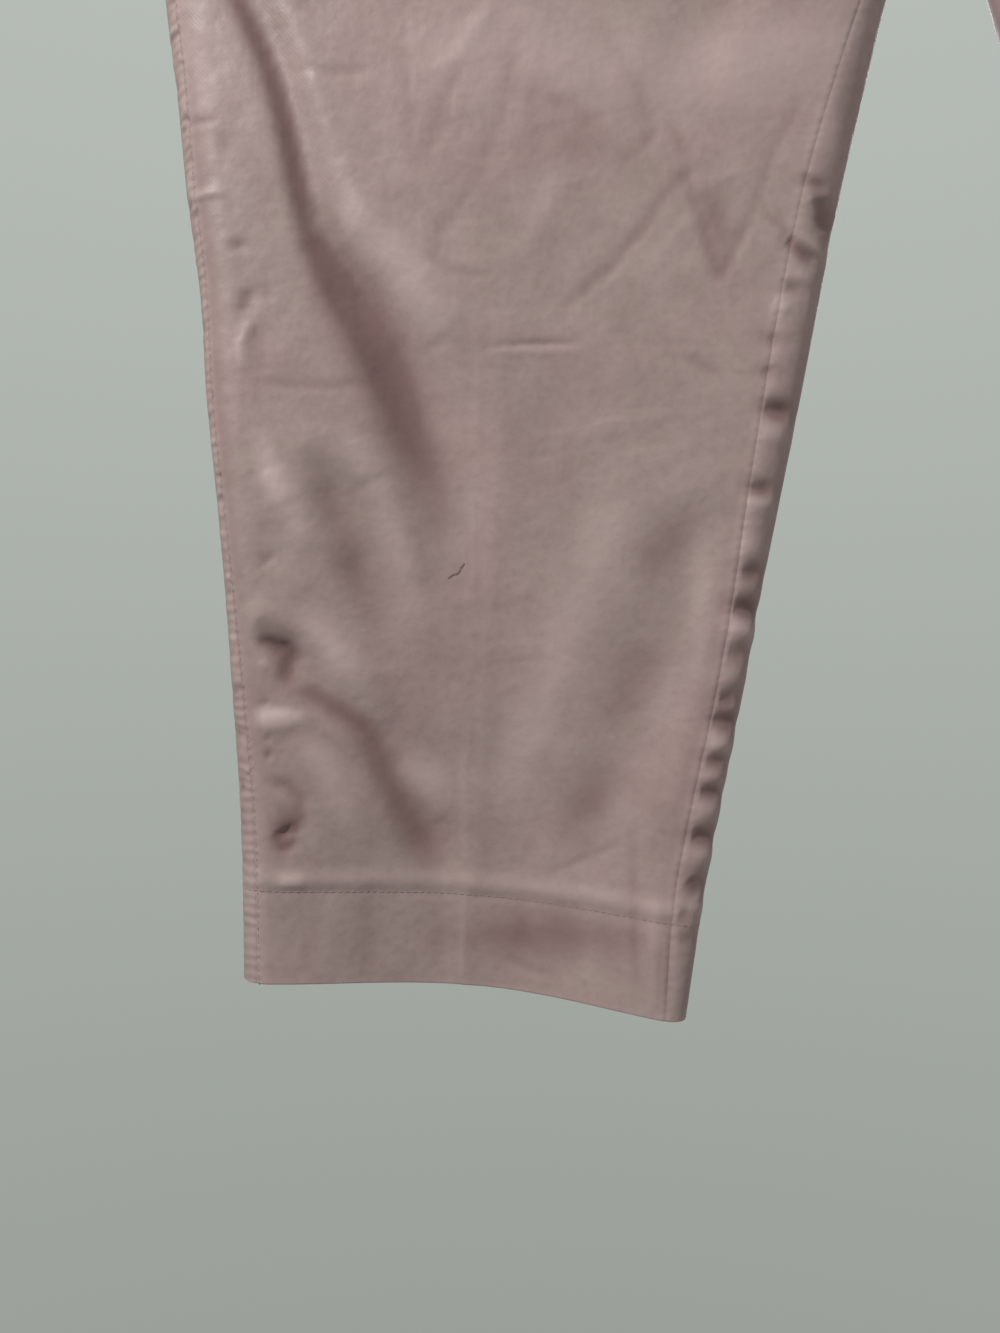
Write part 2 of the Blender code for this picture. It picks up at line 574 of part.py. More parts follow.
def waistband(cloth):
    """One band from the lap's end round the back to the underlap behind the lap."""
    fraction = (1 - np.cos(np.linspace(0.0, math.pi, BAND_DENSE))) / 2
    rows = []
    for z in np.linspace(WAIST_SEAM, WAIST_SEAM + BAND_HEIGHT, BAND_ROWS):
        right_front = layer(RIGHT, "front", z, fraction)[::-1]
        right_back = layer(RIGHT, "back", z, fraction)
        left_back = layer(LEFT, "back", z, fraction)[::-1]
        left_front = layer(LEFT, "front", z, fraction)
        lap = right_front[:1] + (FLY_LAP, 0.0, 0.0)
        underlap = left_front[-1:] - (BAND_UNDERLAP, 0.0, 0.0)
        ring = (lap, right_front, right_back[1:], left_back[1:], left_front[1:], underlap)
        ring = np.concatenate(ring)
        rows.append(spaced(ring, distances(ring)[-1] * np.linspace(0.0, 1.0, BAND_COLUMNS)))
    middle = np.array(rows)
    normals = unit(np.cross(np.gradient(middle, axis=0), np.gradient(middle, axis=1)))
    slide = (BAND_SHIFT_START - middle[..., 0]) / (BAND_SHIFT_START - BAND_SHIFT_END)
    left_half = np.arange(BAND_COLUMNS) > BAND_COLUMNS / 2
    shift = smooth_step(slide) * (left_half & (middle[..., 1] < 0))
    proud = BAND_PROUD - shift * (BAND_CLOTH + LAYER_GAP)
    outer = middle + normals * proud[..., None]
    wall("waistband", outer, outer - normals * BAND_CLOTH, cloth)


def button_hole(button, turn):
    """Cuts one hole through the button, turned that far round from its right."""
    bpy.ops.mesh.primitive_cylinder_add(
        vertices=BUTTON_HOLE_STEPS,
        radius=BUTTON_HOLE,
        depth=CUTTER_LENGTH,
        location=(
            button.location.x + BUTTON_HOLE_SPACING * math.cos(turn),
            button.location.y,
            button.location.z + BUTTON_HOLE_SPACING * math.sin(turn),
        ),
        rotation=(math.pi / 2, 0.0, 0.0),
    )
    cutter = bpy.context.object
    cutter.hide_render = True
    cutter.display_type = "WIRE"
    cut = button.modifiers.new("hole", "BOOLEAN")
    cut.operation = "DIFFERENCE"
    cut.object = cutter


def button(plastic):
    """A four-hole button on the lap of the waistband."""
    face, _ = front_point(-BUTTON_ACROSS, WAIST_SEAM + BAND_HEIGHT / 2)
    inside_rim = BUTTON_RADIUS - BUTTON_RIM
    profile = (
        (0.0, 0.0),
        (BUTTON_RADIUS - BUTTON_BEVEL, 0.0),
        (BUTTON_RADIUS, BUTTON_BEVEL),
        (BUTTON_RADIUS - BUTTON_BEVEL / 2, BUTTON_THICK),
        (inside_rim, BUTTON_THICK),
        (inside_rim - BUTTON_BEVEL, BUTTON_THICK - BUTTON_DISH),
        (0.0, BUTTON_THICK - BUTTON_DISH),
    )
    bm = bmesh.new()
    verts = [bm.verts.new((radius, -height, 0.0)) for radius, height in profile]
    edges = [bm.edges.new(pair) for pair in zip(verts, verts[1:])]
    bmesh.ops.spin(
        bm,
        geom=verts + edges,
        cent=(0.0, 0.0, 0.0),
        axis=(0.0, 1.0, 0.0),
        angle=2 * math.pi,
        steps=BUTTON_STEPS,
        use_merge=True,
    )
    bmesh.ops.remove_doubles(bm, verts=bm.verts, dist=SAME)
    bmesh.ops.recalc_face_normals(bm, faces=bm.faces)
    mesh = bpy.data.meshes.new("button")
    bm.to_mesh(mesh)
    bm.free()
    made = new_object("button", mesh, plastic)
    made.location = (face[0], face[1] - BAND_PROUD - LAYER_GAP, face[2])
    for k in range(BUTTON_HOLES):
        button_hole(made, (2 * k + 1) * math.pi / BUTTON_HOLES)


def material(name, colour, roughness):
    made = bpy.data.materials.new(name)
    made.use_nodes = True
    shader = made.node_tree.nodes["Principled BSDF"]
    shader.inputs["Base Color"].default_value = (*colour, 1.0)
    shader.inputs["Roughness"].default_value = roughness
    return made


def main():
    for obj in list(bpy.data.objects):
        bpy.data.objects.remove(obj)
    cloth = material("dusty_pink_sateen", (0.52, 0.37, 0.34), 0.55)
    plastic = material("button_plastic", (0.55, 0.42, 0.38), 0.35)
    tape = material("zip_tape", (0.45, 0.32, 0.30), 0.6)
    for side in (RIGHT, LEFT):
        panels(side, cloth)
    waistband(cloth)
    fly(cloth)
    zip_strip(tape)
    button(plastic)


main()
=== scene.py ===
# %% [markdown]
# # Capri pants in cotton sateen
#
# These are mid-calf trousers in a soft, dusty pink sateen. They hang from the waist, pressed
# almost flat, with both hems open. Four cloth panels make the body: a front and a back for each
# leg. A waistband, a fly with its zip and a button close the top.
#
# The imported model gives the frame: every piece here is made in the same place, in metres, with
# +Z up and the front towards -Y. The cloth panels are built again as fine shells, because
# folds, seam puckers and stitches need far smaller faces than a collision model does.

# %% Load the frame
import math
from collections import namedtuple

import bpy
import mathutils
import numpy as np
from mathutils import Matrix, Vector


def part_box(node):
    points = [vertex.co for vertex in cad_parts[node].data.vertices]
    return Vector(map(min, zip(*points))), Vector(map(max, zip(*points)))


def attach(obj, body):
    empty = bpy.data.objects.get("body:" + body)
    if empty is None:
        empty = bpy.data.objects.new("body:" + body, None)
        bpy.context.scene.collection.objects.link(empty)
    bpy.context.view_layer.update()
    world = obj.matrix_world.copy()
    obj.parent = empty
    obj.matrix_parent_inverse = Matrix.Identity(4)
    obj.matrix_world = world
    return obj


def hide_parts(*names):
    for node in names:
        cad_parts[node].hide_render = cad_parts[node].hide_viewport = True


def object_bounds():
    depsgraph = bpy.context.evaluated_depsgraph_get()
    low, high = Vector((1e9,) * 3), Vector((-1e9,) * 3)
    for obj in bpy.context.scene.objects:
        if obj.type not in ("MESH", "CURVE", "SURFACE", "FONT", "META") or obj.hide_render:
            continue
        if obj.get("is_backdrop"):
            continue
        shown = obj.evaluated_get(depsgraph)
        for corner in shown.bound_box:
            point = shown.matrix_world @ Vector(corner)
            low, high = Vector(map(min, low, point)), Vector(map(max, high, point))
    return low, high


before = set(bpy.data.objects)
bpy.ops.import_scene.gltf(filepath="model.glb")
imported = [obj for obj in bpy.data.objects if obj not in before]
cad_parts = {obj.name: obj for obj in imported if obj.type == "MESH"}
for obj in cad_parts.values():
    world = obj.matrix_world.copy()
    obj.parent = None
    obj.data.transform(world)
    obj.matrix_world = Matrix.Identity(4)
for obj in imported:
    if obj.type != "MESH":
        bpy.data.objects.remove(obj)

cad_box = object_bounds()
print("frame nodes:", sorted(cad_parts))
print("frame box in mm:", [round(1000 * side) for side in cad_box[1] - cad_box[0]])

# %% [markdown]
# ## Sizes
#
# A tailor describes trousers by a few widths at a few heights, and the same numbers drive the
# shape here. Each row of the table below is one level of the garment. A smooth curve through
# the rows gives every level between them, so the side seams have no corners.
#
# The legs hang a little open: the middle of each front sags back towards the back layer, most
# of all at the hem, where nothing holds it.

# %% Levels of the garment
CROTCH_HEIGHT = -0.275
HEM_HEIGHT = -0.775
WAIST_SEAM = -0.040
FRONT_DIP = 0.012  # the front of the waist lies this much lower than the back
HEM_LIFT = 0.0178  # the outer end of the hem hangs higher than its inner end
HEM_ARCH = 0.0024
HEM_DEPTH = 0.0405
CROTCH_CURVE = 0.075
RIGHT, LEFT = -1, 1  # the wearer's sides

Section = namedtuple("Section", "z outer inner front back sag round outseam inseam")
SECTIONS = (
    Section(-0.7750, 0.2983, 0.1096, 0.0110, 0.0215, 0.0195, 0.014, 0.0073, 0.0100),
    Section(-0.7246, 0.2988, 0.1020, 0.0112, 0.0210, 0.0185, 0.014, 0.0073, 0.0140),
    Section(-0.6817, 0.3001, 0.0942, 0.0122, 0.0200, 0.0165, 0.015, 0.0070, 0.0140),
    Section(-0.6389, 0.3031, 0.0857, 0.0130, 0.0190, 0.0145, 0.015, 0.0060, 0.0135),
    Section(-0.5960, 0.3061, 0.0779, 0.0138, 0.0185, 0.0115, 0.016, 0.0048, 0.0140),
    Section(-0.5531, 0.3099, 0.0694, 0.0148, 0.0185, 0.0090, 0.017, 0.0040, 0.0165),
    Section(-0.5102, 0.3142, 0.0608, 0.0158, 0.0188, 0.0062, 0.018, 0.0042, 0.0185),
    Section(-0.4673, 0.3168, 0.0526, 0.0165, 0.0192, 0.0038, 0.019, 0.0048, 0.0195),
    Section(-0.4245, 0.3224, 0.0441, 0.0172, 0.0200, 0.0020, 0.020, 0.0056, 0.0190),
    Section(-0.3816, 0.3266, 0.0342, 0.0178, 0.0207, 0.0005, 0.021, 0.0062, 0.0165),
    Section(-0.3387, 0.3318, 0.0235, 0.0184, 0.0214, 0.0000, 0.023, 0.0064, 0.0120),
    Section(-0.3000, 0.3342, 0.0100, 0.0190, 0.0220, 0.0000, 0.025, 0.0062, 0.0060),
    Section(-0.2750, 0.3325, 0.0000, 0.0196, 0.0226, 0.0000, 0.026, 0.0060, 0.0000),
    Section(-0.2100, 0.3170, 0.0000, 0.0200, 0.0240, 0.0000, 0.028, 0.0056, 0.0000),
    Section(-0.1400, 0.2940, 0.0000, 0.0185, 0.0225, 0.0000, 0.028, 0.0056, 0.0000),
    Section(-0.0600, 0.2670, 0.0000, 0.0150, 0.0175, 0.0000, 0.026, 0.0050, 0.0000),
    Section(0.0000, 0.2520, 0.0000, 0.0125, 0.0150, 0.0000, 0.024, 0.0040, 0.0000),
)


def smooth_step(t):
    t = np.clip(t, 0.0, 1.0)
    return t * t * (3 - 2 * t)


def size_at(name, z):
    """A column of SECTIONS at height z, along a smooth curve through its rows."""
    heights = np.array([row.z for row in SECTIONS])
    values = np.array([getattr(row, name) for row in SECTIONS])
    slopes = np.gradient(values, heights)
    z = np.clip(np.asarray(z, float), heights[0], heights[-1])
    i = np.clip(np.searchsorted(heights, z, side="right") - 1, 0, len(heights) - 2)
    gap = heights[i + 1] - heights[i]
    t = (z - heights[i]) / gap
    start = values[i] * (1 + 2 * t) * (1 - t) ** 2 + slopes[i] * gap * t * (1 - t) ** 2
    end = values[i + 1] * t * t * (3 - 2 * t) - slopes[i + 1] * gap * t * t * (1 - t)
    return start + end


for level, z in (("waist", WAIST_SEAM), ("crotch", CROTCH_HEIGHT), ("hem", HEM_HEIGHT)):
    width = 1000 * (size_at("outer", z) - size_at("inner", z))
    print(f"{level}: {width:.0f} mm from the middle or inner fold to the outer fold")

# %% [markdown]
# ## Folds
#
# Cloth that hangs from a few points makes long folds that run from where it is held or pushed
# towards where it is free. Each fold here is a soft trough along a path. The two slopes have
# their own widths, since a real fold is steep on one side and slack on the other, and the
# depth fades out at both ends. Every fold is given one by one, so no two are alike.
#
# Simulating the whole garment would also give folds, but not these folds, and a maker who
# wants one particular crease is better off drawing it.

# %% Fold tools
# A fold is a path of points. Each is a row: across, height, the reach of the left and of the
# right slope, and the depth, which is below zero for a swell.
PATH_STEPS = 6  # stretches of the curve between two points of a path


def smooth_path(path):
    """The fold's points with more of them between, on a curve through them."""
    points = np.array(path)
    points = np.concatenate((points[:1], points, points[-1:]))
    t = np.linspace(0.0, 1.0, PATH_STEPS, endpoint=False)[:, None]
    pieces = []
    for before, start, end, after in zip(points, points[1:], points[2:], points[3:]):
        first = (end - before) / 2
        last = (after - start) / 2
        bend = 3 * (end - start) - 2 * first - last
        turn = first + last - 2 * (end - start)
        pieces.append(start + t * (first + t * (bend + t * turn)))
    return np.concatenate((*pieces, points[-1:]))


def fold_depth(path, across, z):
    """How far a fold goes in at each point of the arrays across and z."""
    curve = smooth_path(path)
    reach = curve[:, 2:4].max()
    low = curve[:, :2].min(axis=0) - reach
    high = curve[:, :2].max(axis=0) + reach
    near = (across > low[0]) & (across < high[0]) & (z > low[1]) & (z < high[1])
    place = np.stack((across[near], z[near]), axis=-1)
    best = np.full(len(place), np.inf)
    found = np.zeros(len(place))
    for start, end in zip(curve, curve[1:]):
        run = (end - start)[:2]
        off = place - start[:2]
        t = np.clip(off @ run / (run @ run), 0.0, 1.0)[:, None]
        off = off - t * run
        distance = np.hypot(off[:, 0], off[:, 1])
        _, _, left, right, deep = np.moveaxis(start + (end - start) * t, -1, 0)
        on_left = run[0] * off[:, 1] - run[1] * off[:, 0] > 0
        share = 1 - smooth_step(distance / np.where(on_left, left, right))
        found = np.where(distance < best, deep * share, found)
        best = np.minimum(best, distance)
    depth = np.zeros(across.shape)
    depth[near] = found
    return depth


# %% Large folds of the right front
FRONT_FOLDS_RIGHT = (
    (  # from the hip down the outer thigh to below the knee
        (0.3075, -0.3160, 0.012, 0.012, 0.0000), (0.3000, -0.3320, 0.011, 0.011, 0.0022),
        (0.2908, -0.3488, 0.011, 0.012, 0.0042), (0.2798, -0.3761, 0.011, 0.012, 0.0050),
        (0.2726, -0.4016, 0.011, 0.013, 0.0052), (0.2669, -0.4268, 0.012, 0.016, 0.0060),
        (0.2592, -0.4471, 0.015, 0.021, 0.0080), (0.2494, -0.4612, 0.019, 0.026, 0.0102),
        (0.2347, -0.4826, 0.022, 0.032, 0.0112), (0.2257, -0.5029, 0.023, 0.035, 0.0106),
        (0.2179, -0.5233, 0.024, 0.034, 0.0088), (0.2117, -0.5451, 0.024, 0.030, 0.0058),
        (0.2093, -0.5709, 0.022, 0.025, 0.0028), (0.2081, -0.5962, 0.018, 0.018, 0.0000),
    ),
    (  # beside the knee
        (0.2688, -0.5304, 0.012, 0.014, 0.0000), (0.2591, -0.5509, 0.012, 0.020, 0.0034),
        (0.2518, -0.5673, 0.013, 0.022, 0.0032), (0.2470, -0.5840, 0.014, 0.022, 0.0038),
        (0.2397, -0.6015, 0.014, 0.020, 0.0030), (0.2348, -0.6260, 0.014, 0.016, 0.0000),
    ),
    (  # from the outseam towards the hem
        (0.2896, -0.6043, 0.010, 0.010, 0.0000), (0.2791, -0.6176, 0.011, 0.014, 0.0038),
        (0.2654, -0.6344, 0.012, 0.020, 0.0034), (0.2458, -0.6506, 0.014, 0.024, 0.0036),
        (0.2318, -0.6748, 0.015, 0.026, 0.0042), (0.2192, -0.7020, 0.016, 0.024, 0.0034),
        (0.2120, -0.7260, 0.015, 0.018, 0.0000),
    ),
    (  # from the inseam towards the middle of the leg
        (0.0934, -0.5499, 0.020, 0.018, 0.0000), (0.1055, -0.5780, 0.025, 0.021, 0.0030),
        (0.1200, -0.6197, 0.028, 0.023, 0.0034), (0.1322, -0.6556, 0.028, 0.023, 0.0030),
        (0.1421, -0.6865, 0.024, 0.022, 0.0028), (0.1537, -0.7214, 0.018, 0.018, 0.0000),
    ),
    (  # the swell beside the first fold
        (0.2620, -0.4200, 0.010, 0.016, 0.0000), (0.2480, -0.4440, 0.012, 0.022, -0.0016),
        (0.2290, -0.4640, 0.016, 0.028, -0.0024), (0.2080, -0.4840, 0.018, 0.032, -0.0022),
        (0.1960, -0.5100, 0.020, 0.032, -0.0016), (0.1880, -0.5500, 0.018, 0.026, 0.0000),
    ),
    (  # from the crotch towards the hip
        (0.0240, -0.3020, 0.014, 0.016, 0.0000), (0.0600, -0.2740, 0.016, 0.018, 0.0045),
        (0.1150, -0.2420, 0.018, 0.020, 0.0040), (0.1750, -0.2200, 0.018, 0.020, 0.0000),
    ),
    (  # down the inner thigh from the crotch
        (0.0560, -0.2900, 0.018, 0.018, 0.0000), (0.0850, -0.3220, 0.020, 0.022, 0.0036),
        (0.1080, -0.3600, 0.022, 0.024, 0.0022), (0.1220, -0.4150, 0.022, 0.024, 0.0000),
    ),
)
print("large folds of the right front:", len(FRONT_FOLDS_RIGHT))

# %% Large folds of the left front
FRONT_FOLDS_LEFT = (
    (  # from the hip down the outer thigh to below the knee
        (0.3150, -0.3150, 0.012, 0.011, 0.0000), (0.2985, -0.3580, 0.013, 0.012, 0.0058),
        (0.2830, -0.4020, 0.014, 0.012, 0.0070), (0.2700, -0.4450, 0.014, 0.013, 0.0068),
        (0.2590, -0.4820, 0.016, 0.020, 0.0095), (0.2430, -0.5180, 0.017, 0.023, 0.0108),
        (0.2290, -0.5520, 0.018, 0.022, 0.0085), (0.2190, -0.5850, 0.018, 0.020, 0.0045),
        (0.2130, -0.6180, 0.018, 0.018, 0.0000),
    ),
    (  # beside the knee
        (0.2740, -0.5150, 0.013, 0.012, 0.0000), (0.2610, -0.5480, 0.014, 0.014, 0.0036),
        (0.2500, -0.5820, 0.015, 0.015, 0.0038), (0.2400, -0.6200, 0.014, 0.014, 0.0000),
    ),
    (  # from the outseam towards the hem
        (0.2880, -0.6200, 0.010, 0.010, 0.0000), (0.2760, -0.6340, 0.013, 0.012, 0.0040),
        (0.2560, -0.6600, 0.018, 0.016, 0.0034), (0.2330, -0.6880, 0.020, 0.018, 0.0036),
        (0.2160, -0.7200, 0.016, 0.016, 0.0000),
    ),
    (  # from the inseam towards the middle of the leg
        (0.0900, -0.5400, 0.020, 0.018, 0.0000), (0.1120, -0.5850, 0.024, 0.022, 0.0028),
        (0.1330, -0.6350, 0.026, 0.024, 0.0030), (0.1540, -0.6950, 0.020, 0.020, 0.0000),
    ),
    (  # the ridge beside the first fold
        (0.2880, -0.3350, 0.012, 0.018, 0.0000), (0.2640, -0.4100, 0.014, 0.020, -0.0022),
        (0.2380, -0.4700, 0.016, 0.024, -0.0030), (0.2050, -0.5250, 0.018, 0.026, -0.0028),
        (0.1900, -0.5700, 0.018, 0.022, 0.0000),
    ),
    (  # from the crotch towards the hip
        (0.0260, -0.3000, 0.014, 0.016, 0.0000), (0.0640, -0.2700, 0.016, 0.018, 0.0040),
        (0.1180, -0.2380, 0.018, 0.020, 0.0038), (0.1800, -0.2180, 0.018, 0.020, 0.0000),
    ),
    (  # down the inner thigh from the crotch
        (0.0540, -0.2900, 0.018, 0.018, 0.0000), (0.0830, -0.3260, 0.020, 0.022, 0.0034),
        (0.1070, -0.3680, 0.022, 0.024, 0.0024), (0.1230, -0.4250, 0.022, 0.024, 0.0000),
    ),
)
print("large folds of the left front:", len(FRONT_FOLDS_LEFT))

# %% Large folds of the backs
BACK_FOLDS_RIGHT = (
    (  # under the seat
        (0.0350, -0.2850, 0.016, 0.018, 0.0000), (0.0850, -0.2700, 0.018, 0.020, 0.0055),
        (0.1500, -0.2780, 0.018, 0.020, 0.0045), (0.2150, -0.3050, 0.018, 0.018, 0.0000),
    ),
    (  # down the thigh
        (0.1100, -0.3200, 0.020, 0.022, 0.0000), (0.1350, -0.3900, 0.022, 0.026, 0.0060),
        (0.1600, -0.4700, 0.024, 0.026, 0.0065), (0.1780, -0.5500, 0.022, 0.022, 0.0000),
    ),
    (  # from the outseam behind the knee
        (0.2740, -0.4500, 0.016, 0.016, 0.0000), (0.2450, -0.5050, 0.018, 0.020, 0.0060),
        (0.2180, -0.5700, 0.018, 0.020, 0.0055), (0.2020, -0.6400, 0.018, 0.018, 0.0000),
    ),
    (  # from the inseam to the calf
        (0.0980, -0.5300, 0.016, 0.016, 0.0000), (0.1260, -0.5900, 0.018, 0.018, 0.0045),
        (0.1520, -0.6550, 0.018, 0.018, 0.0040), (0.1700, -0.7100, 0.018, 0.018, 0.0000),
    ),
)
BACK_FOLDS_LEFT = (
    (  # under the seat
        (0.0320, -0.2820, 0.016, 0.018, 0.0000), (0.0800, -0.2640, 0.018, 0.020, 0.0050),
        (0.1400, -0.2700, 0.018, 0.020, 0.0050), (0.2050, -0.2950, 0.018, 0.018, 0.0000),
    ),
    (  # down the thigh
        (0.1200, -0.3150, 0.020, 0.022, 0.0000), (0.1480, -0.3800, 0.022, 0.026, 0.0065),
        (0.1700, -0.4600, 0.024, 0.026, 0.0060), (0.1820, -0.5350, 0.022, 0.022, 0.0000),
    ),
    (  # from the outseam behind the knee
        (0.2800, -0.4300, 0.016, 0.016, 0.0000), (0.2520, -0.4900, 0.018, 0.020, 0.0055),
        (0.2260, -0.5550, 0.018, 0.020, 0.0060), (0.2080, -0.6200, 0.018, 0.018, 0.0000),
    ),
    (  # from the inseam to the calf
        (0.0940, -0.5450, 0.016, 0.016, 0.0000), (0.1220, -0.6050, 0.018, 0.018, 0.0045),
        (0.1480, -0.6650, 0.018, 0.018, 0.0036), (0.1660, -0.7150, 0.018, 0.018, 0.0000),
    ),
)
print("large folds of the backs:", len(BACK_FOLDS_RIGHT), "and", len(BACK_FOLDS_LEFT))

# %% Low swells between the folds of the right front
SWELLS = (
    (  # the swell inside the long fold, at its upper end
        (0.2560, -0.4300, 0.010, 0.012, 0.0000), (0.2430, -0.4480, 0.014, 0.016, -0.0010),
        (0.2320, -0.4640, 0.016, 0.018, -0.0018), (0.2200, -0.4830, 0.014, 0.016, -0.0011),
        (0.2120, -0.5027, 0.010, 0.010, 0.0000),
    ),
    (  # between the fold and the outseam
        (0.2900, -0.5245, 0.006, 0.006, 0.0000), (0.2844, -0.5422, 0.007, 0.012, -0.0008),
        (0.2763, -0.5602, 0.008, 0.013, -0.0008), (0.2683, -0.5767, 0.007, 0.007, 0.0000),
    ),
    (  # along the fold beside the knee, which is shallower in fine cloth
        (0.2760, -0.5220, 0.010, 0.012, 0.0000), (0.2660, -0.5400, 0.012, 0.017, -0.0013),
        (0.2560, -0.5580, 0.012, 0.018, -0.0013), (0.2490, -0.5800, 0.012, 0.018, -0.0014),
        (0.2410, -0.6010, 0.012, 0.018, -0.0010), (0.2350, -0.6230, 0.010, 0.012, 0.0000),
    ),
    (  # above the tuck by the outseam
        (0.2930, -0.5960, 0.008, 0.010, 0.0000), (0.2860, -0.6050, 0.010, 0.012, -0.0010),
        (0.2790, -0.6120, 0.009, 0.012, -0.0013), (0.2700, -0.6190, 0.007, 0.010, 0.0000),
    ),
    (  # above the slanting fold
        (0.2725, -0.5992, 0.008, 0.008, 0.0000), (0.2595, -0.6155, 0.012, 0.012, -0.0016),
        (0.2473, -0.6327, 0.012, 0.012, -0.0015), (0.2350, -0.6507, 0.008, 0.008, 0.0000),
    ),
    (  # below the slanting fold
        (0.2768, -0.6531, 0.007, 0.007, 0.0000), (0.2639, -0.6672, 0.010, 0.011, -0.0012),
        (0.2558, -0.6835, 0.010, 0.010, -0.0009), (0.2461, -0.7036, 0.007, 0.007, 0.0000),
    ),
)
LARGE_FOLDS = {
    (RIGHT, "front"): FRONT_FOLDS_RIGHT + SWELLS,
    (LEFT, "front"): FRONT_FOLDS_LEFT,
    (RIGHT, "back"): BACK_FOLDS_RIGHT,
    (LEFT, "back"): BACK_FOLDS_LEFT,
}
print("folds and swells:", sum(len(folds) for folds in LARGE_FOLDS.values()))

# %% [markdown]
# ## Small creases
#
# Between the large folds, worn cloth keeps a map of small marks: dimples where a seam was sewn a
# little tight, a V where the thigh was folded in a drawer, a nick over the knee. Each is a short
# line with a width and a depth; a ridge has a negative depth. Light from above darkens the
# upper lip of each hollow and brightens its lower lip, which is what makes a seam look sewn.
#
# They could be sculpted with a brush, but marks in a list can be read and measured. The leg with
# the listed marks also lends them to the other leg, moved and rescaled with a fixed seed,
# so that both legs are alike but not copies.

# %% Crease tools
Crease = namedtuple("Crease", "width depth path")
CREASE_REACH = 3  # widths, beyond which a crease is too shallow to matter
CREASE_END = 0.35  # share of its depth that a crease keeps at its ends


def creases(*rows):
    """Creases written as plain rows: width, depth, and the places that they run through."""
    return tuple(Crease(width, depth, tuple(places)) for width, depth, *places in rows)


def crease_depth(crease, across, z):
    """How far a crease goes in at each point of the arrays across and z."""
    path = np.array(crease.path)
    reach = CREASE_REACH * crease.width
    low = path.min(axis=0) - reach
    high = path.max(axis=0) + reach
    near = (across > low[0]) & (across < high[0]) & (z > low[1]) & (z < high[1])
    place = np.stack((across[near], z[near]), axis=-1)
    distance = np.full(len(place), reach)
    share = np.zeros(len(place))
    lengths = np.concatenate(((0.0,), np.cumsum(np.linalg.norm(np.diff(path, axis=0), axis=1))))
    for start, end, before, after in zip(path, path[1:], lengths, lengths[1:]):
        run = end - start
        off = place - start
        t = np.clip(off @ run / (run @ run), 0.0, 1.0)
        found = np.linalg.norm(off - t[:, None] * run, axis=-1)
        nearer = found < distance
        distance[nearer] = found[nearer]
        share[nearer] = (before + t[nearer] * (after - before)) / lengths[-1]
    fade = CREASE_END + (1 - CREASE_END) * np.sqrt(4 * share * (1 - share))
    depth = np.zeros(across.shape)
    depth[near] = crease.depth * fade * np.exp(-((distance / crease.width) ** 2))
    return depth


# %% Creases beside the outseam
OUTSEAM_CREASES = creases(
    # from the knee to the hem
    (0.0024, 0.0011, (0.2897, -0.6139), (0.2848, -0.6147), (0.2799, -0.6176)),
    (0.0034, 0.0014, (0.2791, -0.6134), (0.2767, -0.6201), (0.2792, -0.6318)),
    (0.0026, -0.0006, (0.2881, -0.6218), (0.2856, -0.6251)),
    (0.0028, -0.0004, (0.2709, -0.6134), (0.2694, -0.6251)),
    (0.0048, -0.0017, (0.2882, -0.6480), (0.2744, -0.6469)),
    (0.0019, 0.0008, (0.2873, -0.6393), (0.2869, -0.6397)),
    (0.0022, 0.0006, (0.2862, -0.6539), (0.2849, -0.6543)),
    (0.0022, 0.0009, (0.2866, -0.6614), (0.2846, -0.6618)),
    (0.0028, 0.001, (0.2842, -0.6727), (0.2777, -0.6749), (0.2729, -0.6805), (0.2713, -0.6906)),
    (0.0048, 0.0022, (0.2802, -0.6921), (0.2774, -0.6964)),
    (0.0024, 0.0007, (0.2823, -0.7000), (0.2754, -0.7006)),
    (0.0030, -0.0011, (0.2812, -0.7152), (0.2715, -0.7152)),
    (0.0040, 0.0009, (0.2871, -0.5794), (0.2854, -0.5811)),
    (0.0070, -0.001, (0.2860, -0.5430), (0.2788, -0.5578)),
    # from the thigh to the knee
    (0.0026, 0.001, (0.2991, -0.4508), (0.2945, -0.4515)),
    (0.0032, 0.0011, (0.2922, -0.4691), (0.2951, -0.4782)),
    (0.0030, 0.0007, (0.2864, -0.4658), (0.2840, -0.4731)),
    (0.0017, -0.0013, (0.2922, -0.4822), (0.2960, -0.4917), (0.2960, -0.5012)),
    (0.0026, 0.0006, (0.2898, -0.4855), (0.2874, -0.5027)),
    (0.0026, 0.00035, (0.2874, -0.5064), (0.2760, -0.5083), (0.2596, -0.5084), (0.2423, -0.5069)),
    (0.0016, -0.0008, (0.3166, -0.4296), (0.3047, -0.4291)),
    (0.0017, 0.0005, (0.3181, -0.3994), (0.3066, -0.4001)),
    (0.0034, 0.0005, (0.3034, -0.4046), (0.2993, -0.4144)),
)
print("creases beside the outseam:", len(OUTSEAM_CREASES))

